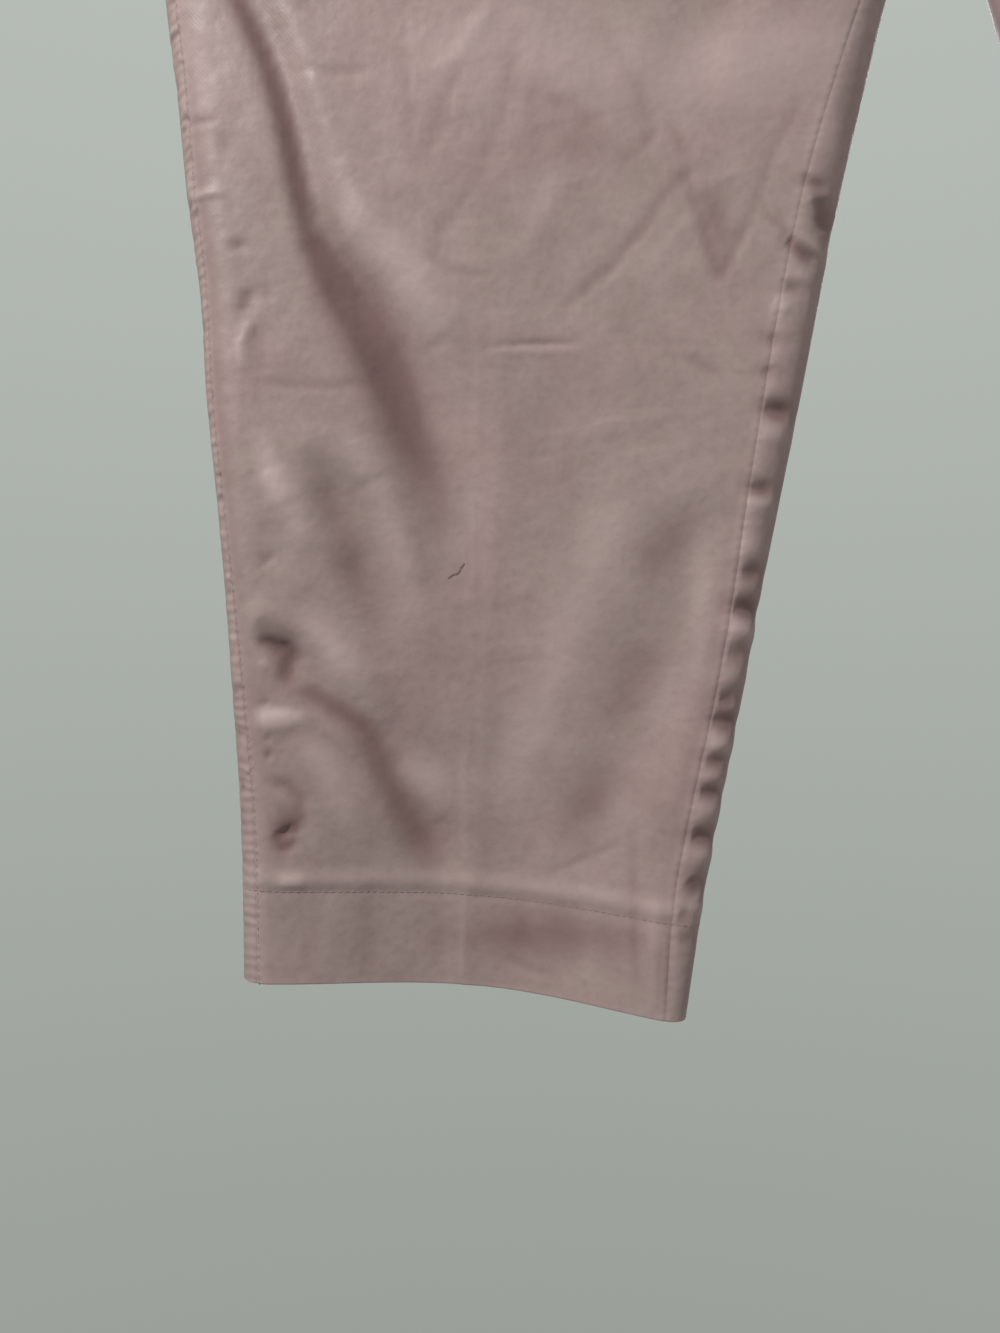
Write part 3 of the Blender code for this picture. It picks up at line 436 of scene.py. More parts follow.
# %% Creases of the thigh and the knee
FRONT_CREASES = creases(
    # soft cores of the folds
    (0.0065, 0.0009, (0.2990, -0.3387), (0.2957, -0.3509), (0.2868, -0.3712),
     (0.2787, -0.3956), (0.2727, -0.4269), (0.2679, -0.4464)),
    (0.0080, 0.0011, (0.2679, -0.4464), (0.2569, -0.4666), (0.2438, -0.4868),
     (0.2324, -0.5071), (0.2259, -0.5275), (0.2185, -0.5460)),
    (0.0030, 0.0005, (0.2711, -0.3517), (0.2605, -0.3565)),
    (0.0060, 0.0004, (0.2648, -0.5501), (0.2559, -0.5666)),
    (0.0060, 0.0004, (0.2552, -0.5799), (0.2438, -0.5982)),
    (0.0045, 0.0007, (0.2702, -0.6343), (0.2589, -0.6420), (0.2458, -0.6523)),
    (0.0065, 0.0009, (0.2458, -0.6548), (0.2360, -0.6755), (0.2218, -0.7037)),
    # across the front
    (0.0021, 0.00034, (0.2712, -0.3777), (0.2564, -0.3805), (0.2416, -0.3792)),
    (0.0013, 0.0005, (0.1920, -0.4912), (0.1760, -0.4893), (0.1580, -0.4894)),
    (0.0018, -0.00034, (0.1890, -0.4931), (0.1535, -0.4924)),
    (0.0021, 0.00066, (0.1194, -0.3993), (0.1102, -0.4156)),
    (0.0021, 0.0008, (0.1130, -0.4200), (0.1060, -0.4400), (0.0985, -0.4640), (0.0880, -0.4440)),
    (0.0044, 0.0006, (0.1056, -0.4302), (0.0940, -0.4491)),
    (0.0025, 0.00066, (0.1077, -0.4180), (0.1204, -0.4293), (0.1306, -0.4442),
     (0.1433, -0.4595), (0.1615, -0.4744)),
    (0.0030, -0.00036, (0.1048, -0.4339), (0.1268, -0.4584)),
    (0.0021, 0.0005, (0.0657, -0.3935), (0.0760, -0.4120), (0.0836, -0.4330), (0.0900, -0.4480)),
    (0.0021, -0.0003, (0.0860, -0.4191), (0.1048, -0.4246)),
    (0.0021, 0.00042, (0.1230, -0.4025), (0.1370, -0.4162)),
    (0.0018, 0.00054, (0.0818, -0.4297), (0.0785, -0.4387), (0.0690, -0.4478)),
    (0.0026, 0.00048, (0.2043, -0.4303), (0.2139, -0.4461), (0.2164, -0.4551),
     (0.2098, -0.4607), (0.1952, -0.4622)),
    (0.0030, 0.00054, (0.2055, -0.3759), (0.2212, -0.4191)),
    (0.0033, -0.0006, (0.1927, -0.3532), (0.2079, -0.3759)),
    (0.0018, 0.00036, (0.2301, -0.3508), (0.2249, -0.4163)),
    (0.0018, 0.00024, (0.1746, -0.3835), (0.1745, -0.4112)),
    (0.0035, 0.00048, (0.1676, -0.3895), (0.1490, -0.4012)),
    (0.0025, 0.00054, (0.1121, -0.4955), (0.0969, -0.5049)),
    (0.0018, 0.00018, (0.1307, -0.4894), (0.1060, -0.4911)),
    (0.0016, 0.00036, (0.1674, -0.7139), (0.1392, -0.7009)),
    (0.0032, 0.00042, (0.1808, -0.3629), (0.1890, -0.3992), (0.2014, -0.4274)),
    (0.0040, 0.00042, (0.1479, -0.3589), (0.1314, -0.3872), (0.1251, -0.4114)),
    (0.0044, -0.00054, (0.1642, -0.4233), (0.1807, -0.4557)),
)
print("creases of the thigh and the knee:", len(FRONT_CREASES))

# %% Creases of the turned-up hem and of the inseam
HEM_CREASES = creases(
    (0.0019, 0.0004, (0.1855, -0.7516), (0.1760, -0.7565), (0.1648, -0.7584)),
    (0.0034, 0.0004, (0.2151, -0.7228), (0.2168, -0.7574)),
    (0.0044, 0.00045, (0.2438, -0.7223), (0.2463, -0.7544)),
    (0.0044, -0.0004, (0.2606, -0.7255), (0.2623, -0.7530)),
    (0.0044, 0.00035, (0.1803, -0.7283), (0.1790, -0.7479)),
    (0.0044, -0.0004, (0.1504, -0.7311), (0.1513, -0.7606)),
    (0.0020, 0.0006, (0.1326, -0.6938), (0.1315, -0.7591)),
    (0.0028, -0.0007, (0.1241, -0.7250), (0.1239, -0.7667)),
    (0.0018, 0.00045, (0.1184, -0.7247), (0.1178, -0.7684)),
    (0.0140, 0.0008, (0.1934, -0.7483), (0.1463, -0.7486)),
)
INSEAM_CREASES = creases(
    (0.0026, 0.00105, (0.0655, -0.4246), (0.0543, -0.4259)),
    (0.0031, -0.00075, (0.0618, -0.4307), (0.0567, -0.4381)),
    (0.0050, 0.00237, (0.0577, -0.4307), (0.0517, -0.4430)),
    (0.0033, 0.00224, (0.0707, -0.4486), (0.0590, -0.4569)),
    (0.0028, -0.00095, (0.0670, -0.4478), (0.0541, -0.4541)),
    (0.0031, 0.00119, (0.0714, -0.4679), (0.0655, -0.4691)),
    (0.0033, -0.00064, (0.0673, -0.4630), (0.0606, -0.4651)),
    (0.0038, -0.00085, (0.0763, -0.4744), (0.0696, -0.4777)),
    (0.0033, 0.00119, (0.0787, -0.4895), (0.0728, -0.4904)),
    (0.0033, 0.00105, (0.0811, -0.5027), (0.0752, -0.5040)),
    (0.0042, 0.00263, (0.0794, -0.5179), (0.0686, -0.5193)),
    (0.0045, -0.00095, (0.0801, -0.5274), (0.0702, -0.5296)),
    (0.0040, 0.00211, (0.0849, -0.5505), (0.0766, -0.5518)),
    (0.0042, -0.00095, (0.0861, -0.5566), (0.0774, -0.5576)),
    (0.0045, -0.00053, (0.0889, -0.5740), (0.0814, -0.5753)),
    (0.0042, 0.00184, (0.0881, -0.5852), (0.0798, -0.5861)),
    (0.0045, 0.0029, (0.0913, -0.5993), (0.0805, -0.6019)),
    (0.0050, -0.00138, (0.0933, -0.6093), (0.0830, -0.6110)),
    (0.0052, 0.00132, (0.0937, -0.6185), (0.0862, -0.6197)),
    (0.0045, -0.00053, (0.0953, -0.6280), (0.0874, -0.6293)),
    (0.0040, 0.00184, (0.0973, -0.6380), (0.0911, -0.6384)),
    (0.0042, 0.00263, (0.0998, -0.6468), (0.0899, -0.6489)),
    (0.0047, -0.00138, (0.1014, -0.6568), (0.0927, -0.6585)),
    (0.0040, 0.00172, (0.1026, -0.6640), (0.0948, -0.6647)),
    (0.0040, -0.00064, (0.1038, -0.6711), (0.0960, -0.6718)),
    (0.0040, 0.00211, (0.1051, -0.6769), (0.0968, -0.6781)),
    (0.0042, -0.00075, (0.1067, -0.6849), (0.0984, -0.6860)),
    (0.0042, 0.00263, (0.1083, -0.6954), (0.0992, -0.6973)),
    (0.0040, -0.00095, (0.1083, -0.7038), (0.1000, -0.7049)),
    (0.0047, 0.00184, (0.1099, -0.7139), (0.1041, -0.7196)),
    (0.0035, -0.00075, (0.1108, -0.7260), (0.1029, -0.7271)),
    (0.0033, 0.00132, (0.1140, -0.7287), (0.1090, -0.7298)),
    (0.0038, 0.00079, (0.1141, -0.7383), (0.1070, -0.7393)),
)
print("creases of the hem and the inseam:", len(HEM_CREASES), "and", len(INSEAM_CREASES))

# %% Soft hollows and the pressed crease
SOFT_CREASES = creases(
    # hollows and swells
    (0.0140, 0.0006, (0.1056, -0.5613), (0.1259, -0.5860)),
    (0.0160, 0.0006, (0.1196, -0.6218), (0.1422, -0.6456)),
    (0.0140, 0.0006, (0.1413, -0.6694), (0.1563, -0.6939)),
    (0.0140, -0.0009, (0.1385, -0.5545), (0.1550, -0.5962), (0.1684, -0.6346), (0.1838, -0.6758)),
    (0.0090, -0.0011, (0.2326, -0.6661), (0.2097, -0.6848)),
    (0.0090, 0.0009, (0.2192, -0.6924), (0.2132, -0.7040)),
    (0.0120, -0.0009, (0.2604, -0.6176), (0.2498, -0.6387)),
    (0.0050, -0.0005, (0.1035, -0.5676), (0.1042, -0.6343)),
    (0.0160, -0.0005, (0.1804, -0.6132), (0.1796, -0.6217)),
    (0.0200, -0.0005, (0.1471, -0.5212), (0.1454, -0.5295)),
    (0.0130, -0.0012, (0.2272, -0.4621), (0.2140, -0.4864)),
    (0.0160, -0.0005, (0.2137, -0.3751), (0.2055, -0.3992)),
    (0.0200, 0.0007, (0.1643, -0.3992), (0.1601, -0.4234)),
    (0.0140, 0.0006, (0.1263, -0.5215), (0.1246, -0.5340)),
    (0.0080, -0.0006, (0.2723, -0.5635), (0.2757, -0.5968)),
    (0.0090, -0.0008, (0.2507, -0.5301), (0.2426, -0.5464)),
    # the pressed crease down the middle
    (0.0016, -0.00028, (0.1990, -0.4720), (0.1995, -0.5128), (0.2018, -0.5962), (0.2036, -0.6454)),
    (0.0016, -0.00042, (0.2036, -0.6454), (0.2051, -0.7094)),
    (0.0016, -0.00042, (0.2051, -0.7236), (0.2060, -0.7596)),
)
CREASES = OUTSEAM_CREASES + FRONT_CREASES + HEM_CREASES + INSEAM_CREASES + SOFT_CREASES
print("creases of the right front:", len(CREASES))

# %% Creases of the backs
WIDTH_VARIES = (0.85, 1.25)  # shares of a crease's width on another panel
BACK_CREASES = creases(
    (0.0034, 0.0016, (0.2950, -0.6300), (0.2780, -0.6350)),
    (0.0030, 0.0013, (0.2930, -0.6900), (0.2820, -0.6930)),
    (0.0040, 0.0016, (0.2960, -0.5350), (0.2760, -0.5480)),
    (0.0030, 0.001, (0.3020, -0.4700), (0.2840, -0.4760)),
    (0.0040, 0.0014, (0.3080, -0.4080), (0.2860, -0.4200)),
    (0.0026, 0.0015, (0.1140, -0.7080), (0.1230, -0.7110)),
    (0.0026, 0.0013, (0.1010, -0.6480), (0.1120, -0.6500)),
    (0.0030, 0.0016, (0.0930, -0.6020), (0.1080, -0.6080)),
    (0.0028, 0.0012, (0.0800, -0.5350), (0.0930, -0.5390)),
    (0.0034, 0.0016, (0.0660, -0.4700), (0.0830, -0.4780)),
    (0.0036, 0.0014, (0.0480, -0.4010), (0.0680, -0.4120)),
    (0.0050, 0.0018, (0.0300, -0.3300), (0.0620, -0.3420)),
    (0.0024, 0.0007, (0.1320, -0.5000), (0.2120, -0.5080)),
    (0.0030, 0.0009, (0.1180, -0.5200), (0.1880, -0.5320)),
    (0.0030, 0.0008, (0.1500, -0.4800), (0.2220, -0.4850)),
    (0.0040, 0.0007, (0.0900, -0.3300), (0.1500, -0.3750)),
    (0.0050, 0.0009, (0.2400, -0.2900), (0.2900, -0.3350)),
    (0.0060, 0.0009, (0.1900, -0.1500), (0.2300, -0.1900)),
    (0.0060, 0.0011, (0.0700, -0.2100), (0.1150, -0.2380)),
    (0.0060, 0.0008, (0.2280, -0.6900), (0.2420, -0.7300)),
    (0.0080, 0.0008, (0.1760, -0.6500), (0.1900, -0.7050)),
    (0.0016, -0.0003, (0.2060, -0.4300), (0.2050, -0.6000)),
    (0.0016, -0.0004, (0.2050, -0.6000), (0.2040, -0.7300)),
)


def varied(lent, seed, slide, scale):
    """The same creases for another panel, each moved along the leg and made deeper or softer."""
    rng = np.random.default_rng(seed)
    made = []
    for crease in lent:
        across, z = crease.path[0]
        move = rng.uniform(-slide, slide)
        by_inner = abs(across - size_at("inner", z)) < abs(across - size_at("outer", z))
        edge = "inner" if by_inner else "outer"
        aside = size_at(edge, z + move) - size_at(edge, z)
        width = crease.width * rng.uniform(*WIDTH_VARIES)
        depth = crease.depth * rng.uniform(1 - scale, 1 + scale)
        path = tuple((place[0] + aside, place[1] + move) for place in crease.path)
        made.append(Crease(width, depth, path))
    return tuple(made)


SMALL_CREASES = {
    (RIGHT, "front"): CREASES,
    (LEFT, "front"): varied(CREASES, seed=3, slide=0.018, scale=0.3),
    (RIGHT, "back"): BACK_CREASES,
    (LEFT, "back"): varied(BACK_CREASES, seed=8, slide=0.020, scale=0.3),
}
print("small creases:", sum(len(made) for made in SMALL_CREASES.values()))

# %% [markdown]
# ## Seam puckers
#
# A topstitched seam shortens a little when it is washed, and the cloth beside it gathers into
# fine slanting ticks. A repeated image of ticks would show where it repeats, and to draw each
# would be slow, so a rule places them: along the seam at uneven steps, each with its own reach,
# slant and depth from a fixed seed.

# %% Puckers along the seams
PUCKER_STEP = 0.0044
PUCKER_WIDTH = 0.0014
PUCKER_DEPTH = 0.00050
PUCKER_SLANT = 0.0018
PUCKER_TOP = -0.06
PUCKER_SPREAD = (0.05, 1.05)  # shares of the strip between the outer fold and the outseam
PUCKER_OVERRUN = 0.2
STEP_SHARES, SLANT_SHARES = (0.3, 1.9), (-0.4, 1.0)
WIDTH_SHARES, DEPTH_SHARES = (0.7, 1.5), (0.2, 1.9)
HOLLOW_OR_RIDGE = (1.0, 1.0, -0.6)


def outseam_puckers(seed):
    """Short creases across the strip between the outer fold and the outseam."""
    rng = np.random.default_rng(seed)
    made = []
    z = HEM_HEIGHT + HEM_DEPTH
    while z < PUCKER_TOP:
        strip = float(size_at("outseam", z))
        fold = float(size_at("outer", z))
        near, far = sorted(rng.uniform(*PUCKER_SPREAD, 2))
        slant = rng.uniform(*SLANT_SHARES) * PUCKER_SLANT
        width = PUCKER_WIDTH * rng.uniform(*WIDTH_SHARES)
        depth = PUCKER_DEPTH * rng.uniform(*DEPTH_SHARES) * rng.choice(HOLLOW_OR_RIDGE)
        start = (fold - strip * near, z + slant)
        stop = (fold - strip * (far + PUCKER_OVERRUN), z - slant)
        made.append(Crease(width, depth, (start, stop)))
        z += PUCKER_STEP * rng.uniform(*STEP_SHARES)
    return tuple(made)


PUCKERS = {side: outseam_puckers(seed) for side, seed in ((RIGHT, 11), (LEFT, 12))}
print("puckers on each outseam:", [len(made) for made in PUCKERS.values()])

# %% [markdown]
# ## Panels
#
# A horizontal cut through one leg is a flat oval with two soft side folds. The front layer and
# the back layer are computed at every level as lines from the outer fold to the inner fold.
# The seams don't lie on the folds: they lie a little in from them, on the front. So the front
# panel takes the middle of the front line, and the back panel takes the back line and wraps
# round both folds to meet it.
#
# Making the leg as a grid like this, and not with a cloth simulation, keeps each seam exactly
# where the pattern cutter put it, with rows that line up across it.

# %% One layer of a leg
CREASE_HEIGHT = 0.0005  # of the pressed crease down the front
CREASE_START, CREASE_RISE = 0.20, 0.40  # shares of the way down the leg
CREASE_WIDTH = 0.004
SAG_LEAN, SAG_POWER = 1.1, 1.6  # the sag is deepest a little nearer the inner fold
HEM_GROOVE, GROOVE_WIDTH = 0.00030, 0.0020
HEM_RIDGE, RIDGE_WIDTH, RIDGE_RISE = 0.0009, 0.0042, 0.0055


def hem_relief(above_hem):
    """The ridge over the edge of the turned-up hem, with a groove at its stitching."""
    groove = np.exp(-(((above_hem - HEM_DEPTH) / GROOVE_WIDTH) ** 2))
    ridge = np.exp(-(((above_hem - HEM_DEPTH - RIDGE_RISE) / RIDGE_WIDTH) ** 2))
    return HEM_RIDGE * ridge - HEM_GROOVE * groove


def layer(side, face, row_z, fraction):
    """Points of one layer of cloth, for a column of heights and a row of fractions.

    A height is that of the row's inner end. A fraction runs from the outer fold (0) to the
    inner fold or the centre seam (1).
    """
    row_z = row_z[:, None]
    fraction = fraction[None, :]
    below = np.clip((CROTCH_HEIGHT - row_z) / (CROTCH_HEIGHT - HEM_HEIGHT), 0.0, 1.0)
    above = (row_z - CROTCH_HEIGHT) / (WAIST_SEAM - CROTCH_HEIGHT)
    lift = HEM_LIFT * (1 - fraction) + HEM_ARCH * np.sin(math.pi * fraction)
    z = row_z + lift * below
    inner = size_at("inner", row_z) * (row_z < CROTCH_HEIGHT)
    outer = size_at("outer", row_z + HEM_LIFT * below)
    across = outer + (inner - outer) * fraction
    if face == "front":
        z = z - FRONT_DIP * smooth_step(above) * (1 - (across / outer) ** 2)
    rounding = size_at("round", row_z)
    from_outer = np.minimum((outer - across) / rounding, 1.0)
    from_inner = np.minimum((across - inner) / rounding, 1.0)
    crotch = np.clip((row_z - CROTCH_HEIGHT) / CROTCH_CURVE, 0.0, 1.0)
    open_outer = np.sqrt(np.clip(1 - (1 - from_outer) ** 2, 0.0, 1.0))
    open_inner = np.sqrt(np.clip(1 - ((1 - from_inner) * (1 - crotch)) ** 2, 0.0, 1.0))
    stand = size_at(face, row_z) * open_outer * open_inner
    window = smooth_step(from_outer) * np.maximum(smooth_step(from_inner), crotch)
    if face == "front":
        sag = np.sin(math.pi * fraction**SAG_LEAN) ** SAG_POWER
        stand = stand - size_at("sag", row_z) * sag
        crease = np.exp(-(((fraction - 0.5) * (outer - inner) / CREASE_WIDTH) ** 2))
        stand = stand + CREASE_HEIGHT * crease * smooth_step((below - CREASE_START) / CREASE_RISE)
    for path in LARGE_FOLDS[side, face]:
        stand = stand - fold_depth(path, across, z) * window
    stand = stand + hem_relief(row_z - HEM_HEIGHT) * window
    y = -stand if face == "front" else stand
    return np.stack((side * across, y, z), axis=-1)


# %% Rows, closer together at the hem's edge and at the crotch
ROW_STEP = 0.00124
UPPER_STEP = 0.005
FINE_TOP = -0.325  # the rows are close together up to here
EDGE_ROWS = (0.0, 0.0001, 0.0003, 0.0006, 0.0010)
THIGH_ROWS, CROTCH_ROWS = 20, 24


def row_heights(step):
    """Heights of the rows, from the hem's edge up to the waist seam."""
    hem = HEM_HEIGHT + np.array(EDGE_ROWS)
    leg = np.arange(hem[-1] + step, FINE_TOP, step)
    thigh = np.linspace(FINE_TOP, CROTCH_HEIGHT, THIGH_ROWS)
    turn = np.linspace(0.0, math.pi / 2, CROTCH_ROWS)[1:]
    crotch = CROTCH_HEIGHT + CROTCH_CURVE * (1 - np.cos(turn))
    count = round((WAIST_SEAM - crotch[-1]) / UPPER_STEP)
    hip = np.linspace(crotch[-1], WAIST_SEAM, count + 1)[1:]
    return np.concatenate((hem, leg, thigh, crotch, hip))


print("rows of the fine leg:", len(row_heights(ROW_STEP)))

# %% Cutting the rings into panels
DENSE = 600  # points along a layer before it is spaced out
SPARSE = DENSE // 10  # points along a short stretch
SEAM_GAP = 0.00004
EDGE_CROWD, EDGE_REACH = 3.5, 0.006  # columns crowd together within this reach of a seam


def distances(points):
    steps = np.linalg.norm(np.diff(points, axis=0), axis=1)
    return np.concatenate(([0.0], np.cumsum(steps)))


def spaced(points, along, places):
    return np.stack([np.interp(places, along, points[:, k]) for k in range(3)], axis=-1)


def crowded(start, stop, count):
    """Places from start to stop, closer together near both."""
    fine = np.linspace(start, stop, DENSE)
    near = np.exp(-(fine - start) / EDGE_REACH) + np.exp(-(stop - fine) / EDGE_REACH)
    density = 1 + EDGE_CROWD * near
    total = np.concatenate(([0.0], np.cumsum((density[1:] + density[:-1]) / 2)))
    return np.interp(np.linspace(0.0, total[-1], count), total, fine)


def cut_row(front, back, outseam_in, inseam_in, columns):
    """One row of the front panel and one of the back panel, from the outseam inwards."""
    gap = SEAM_GAP / 2
    along = distances(front)
    outseam = np.interp(outseam_in, np.abs(front[:, 0] - front[0, 0]), along)
    inset = np.abs(front[:, 0] - front[-1, 0])[::-1]
    inseam = along[-1] - np.interp(inseam_in, inset, (along[-1] - along)[::-1])
    front_row = spaced(front, along, crowded(outseam + gap, inseam - gap, columns[0]))
    before = spaced(front, along, np.linspace(outseam - gap, 0.0, SPARSE))
    after = spaced(front, along, np.linspace(along[-1], inseam + gap, SPARSE))
    path = np.concatenate((before, back[1:], after[1:]) if inseam_in else (before, back[1:]))
    along = distances(path)
    end = along[-1] if inseam_in else along[-1] - gap
    return front_row, spaced(path, along, crowded(0.0, end, columns[1]))


def leg_grids(side, step, columns):
    """The front and the back panel as grids of points, before their small creases."""
    heights = row_heights(step)
    fraction = (1 - np.cos(np.linspace(0.0, math.pi, DENSE))) / 2
    front = layer(side, "front", heights, fraction)
    back = layer(side, "back", heights, fraction)
    outseams = size_at("outseam", heights)
    inseams = np.maximum(size_at("inseam", heights), 0.0) * (heights < CROTCH_HEIGHT)
    rows = [cut_row(*row, columns) for row in zip(front, back, outseams, inseams)]
    fronts = np.array([row[0] for row in rows])
    backs = np.array([row[1] for row in rows])
    for grid in (fronts, backs):
        hip = heights >= CROTCH_HEIGHT
        grid[hip, -1, 0] = side * SEAM_GAP / 2
        grid[hip, :, 0] = side * np.maximum(side * grid[hip, :, 0], SEAM_GAP / 2)
    return heights, fronts, backs


# %% [markdown]
# ## Relief and thickness
#
# Small creases, puckers and the ditch at a seam go in by a few tenths of a millimetre, and the
# inseam's dents by up to three millimetres. They are pressed into the panels last, along the
# normals, which have to agree where two panels meet or the seam would gape. A Solidify modifier
# could then thicken the cloth, but not make the hem double and round its folded edge, so the
# inner face is computed from the outer one here.

# %% Normals that agree across the seams
TINY = 1e-12  # keeps a vector of no length from being divided by nothing
HAIR = 1e-6


def unit(vectors):
    return vectors / np.maximum(np.linalg.norm(vectors, axis=-1, keepdims=True), TINY)


def outward(side, fronts, backs, heights):
    """Outward directions of both panels. Where two edges meet they are the same."""
    ring = np.concatenate((fronts[:, ::-1], backs), axis=1)
    seam = fronts.shape[1]
    ahead = np.roll(ring, -1, axis=1)
    behind = np.roll(ring, 1, axis=1)
    ahead[:, seam - 1] = ring[:, seam + 1]
    behind[:, seam] = ring[:, seam - 2]
    is_leg = heights < CROTCH_HEIGHT + HAIR
    ahead[is_leg, -1] = ring[is_leg, 1]
    behind[is_leg, 0] = ring[is_leg, -2]
    ahead[~is_leg, -1] = ring[~is_leg, -1]
    behind[~is_leg, 0] = ring[~is_leg, 0]
    up = np.gradient(ring, axis=0)
    normals = unit(np.cross(ahead - behind, up)) * side
    normals[~is_leg, 0, 0] = 0.0
    normals[~is_leg, -1, 0] = 0.0
    crotch = int(np.argmin(abs(heights - CROTCH_HEIGHT)))
    normals[crotch, 0] = normals[crotch, -1] = (0.0, 0.0, -1.0)
    normals = unit(normals)
    return normals[:, :seam][:, ::-1], normals[:, seam:]


# %% Small relief along the normals
DITCH_DEPTH, DITCH_WIDTH = 0.00030, 0.0009
CENTRE_DITCH = 0.0010  # the centre back seam lies deepest
# Painted shade and highlight: hollows darken the colour and ridges lighten it, fainter for wide
# creases and on the backs
SHADE_AND_HIGHLIGHT_WIDTH = 0.0045  # a crease wider than this leaves a fainter tone
PAINTED_CREASE_SHARES = {(RIGHT, "front"): 1.0, (LEFT, "front"): 0.8, (RIGHT, "back"): 0.3, (LEFT, "back"): 0.3}
EDGE_SHARE, EDGE_SLOPE = 0.38, 1.25  # creases fade out round the side folds


def row_distances(grid):
    """How far each point of a grid lies from the start of its row, along the cloth."""
    steps = np.linalg.norm(np.diff(grid, axis=1), axis=-1)
    return np.concatenate((np.zeros((len(grid), 1)), np.cumsum(steps, axis=1)), axis=1)


def crease_relief(side, grid, normals):
    """How far each point goes in at creases and puckers, and their painted shade and highlight."""
    across, z = side * grid[..., 0], grid[..., 2]
    facing = EDGE_SLOPE * normals[..., 1]
    depth, tone = np.zeros(across.shape), np.zeros(across.shape)
    shares = {
        "front": smooth_step(EDGE_SHARE - facing),
        "back": smooth_step(EDGE_SHARE + facing),
    }
    placed = [(crease, "front") for crease in SMALL_CREASES[side, "front"] + PUCKERS[side]]
    placed += [(crease, "back") for crease in SMALL_CREASES[side, "back"]]
    for crease, face in placed:
        found = crease_depth(crease, across, z) * shares[face]
        depth += found
        # A hollow lays painted shade on the colour and a ridge lays a painted highlight
        tone += found * min(1.0, SHADE_AND_HIGHLIGHT_WIDTH / crease.width) * PAINTED_CREASE_SHARES[side, face]
    return depth, tone


def ditch_relief(grid):
    """How far each point goes in beside the seams at both ends of its row."""
    along = row_distances(grid)
    centre_back = (grid[..., 2] > CROTCH_HEIGHT) & (grid[..., 1] > 0)
    inner = np.where(centre_back, CENTRE_DITCH, DITCH_DEPTH)
    depth = DITCH_DEPTH * np.exp(-((along / DITCH_WIDTH) ** 2))
    return depth + inner * np.exp(-(((along[:, -1:] - along) / DITCH_WIDTH) ** 2))


# %% A closed wall of cloth
CLOTH = 0.0006
HEM_CLOTH = 0.0016
HEM_TURN = 0.0008  # radius of the fold at the hem's edge
SHARP = math.radians(50)


def turned_edge(distance, radius):
    """How far the face of a folded edge falls back, by the distance from the edge."""
    inside = np.clip(1 - distance / radius, 0.0, 1.0)
    return radius * (1 - np.sqrt(1 - inside**2))


def cloth_mesh(name, points, faces, uv):
    """A smooth mesh with a UV map in metres of cloth."""
    mesh = bpy.data.meshes.new(name)
    mesh.from_pydata(points.tolist(), [], faces.tolist())
    uv_layer = mesh.uv_layers.new(name="cloth")
    corners = np.empty(len(mesh.loops), dtype=np.int32)
    mesh.loops.foreach_get("vertex_index", corners)
    uv_layer.data.foreach_set("uv", uv[corners].astype(np.float32).ravel())
    mesh.shade_smooth()
    mesh.set_sharp_from_angle(angle=SHARP)
    return mesh


def new_piece(name, mesh):
    piece = bpy.data.objects.new(name, mesh)
    bpy.context.scene.collection.objects.link(piece)
    return piece


def wall(name, outer, inner, outwards):
    """A closed wall between two grids of points, with faces that point outwards."""
    rows, columns = outer.shape[:2]
    index = np.arange(rows * columns).reshape(rows, columns)
    quads = np.stack((index[:-1, :-1], index[:-1, 1:], index[1:, 1:], index[1:, :-1]), -1)
    rim = np.concatenate((index[0, :-1], index[:-1, -1], index[-1, :0:-1], index[:0:-1, 0]))
    ahead = np.roll(rim, -1)
    count = rows * columns
    edge = np.stack((ahead, rim, rim + count, ahead + count), -1)
    faces = np.concatenate((quads.reshape(-1, 4), quads.reshape(-1, 4)[:, ::-1] + count, edge))
    across, up = outer[1, 1] - outer[1, 0], outer[2, 1] - outer[1, 1]
    if np.dot(np.cross(across, up), outwards[1, 1]) < 0:
        faces = faces[:, ::-1]
    points = np.concatenate((outer.reshape(-1, 3), inner.reshape(-1, 3)))
    along = row_distances(outer)
    uv = np.stack((along - along[:, -1:] / 2, outer[..., 2]), axis=-1).reshape(-1, 2)
    return new_piece(name, cloth_mesh(name, points, faces, np.concatenate((uv, uv))))


def area_of(grid):
    along, up = np.diff(grid, axis=1)[:-1], np.diff(grid, axis=0)[:, :-1]
    return float(np.linalg.norm(np.cross(along, up), axis=-1).sum())


# %% The four panels
Panel = namedtuple("Panel", "piece outer normals tone area")
LEG_COLUMNS = {RIGHT: (108, 100), LEFT: (100, 92)}
LEG_STEPS = {RIGHT: ROW_STEP, LEFT: 0.0024}
SIDE_WORD = {RIGHT: "right", LEFT: "left"}


def leg_panels(side):
    """The front and the back panel of one leg, as closed walls."""
    heights, fronts, backs = leg_grids(side, LEG_STEPS[side], LEG_COLUMNS[side])
    facing = outward(side, fronts, backs, heights)
    above = heights - HEM_HEIGHT
    thick = CLOTH + (HEM_CLOTH - CLOTH) * smooth_step((HEM_DEPTH - above) / HEM_TURN)
    turned = turned_edge(above, HEM_TURN)
    made = {}
    for face, grid, normals in zip(("front", "back"), (fronts, backs), facing):
        depth, tone = crease_relief(side, grid, normals)
        depth = depth + ditch_relief(grid)
        outer = grid - normals * (depth + turned[:, None])[..., None]
        inner = grid - normals * (depth + (thick - turned)[:, None])[..., None]
        name = f"{face}_{SIDE_WORD[side]}_cloth"
        piece = wall(name, outer, inner, normals)
        made[side, face] = Panel(piece, outer, normals, tone, area_of(outer))
    return made


PANELS = {**leg_panels(RIGHT), **leg_panels(LEFT)}
for (side, face), panel in PANELS.items():
    faces = len(panel.piece.data.polygons)
    print(f"{SIDE_WORD[side]} {face}: {faces} faces, {1e4 * panel.area:.0f} cm2 of cloth")

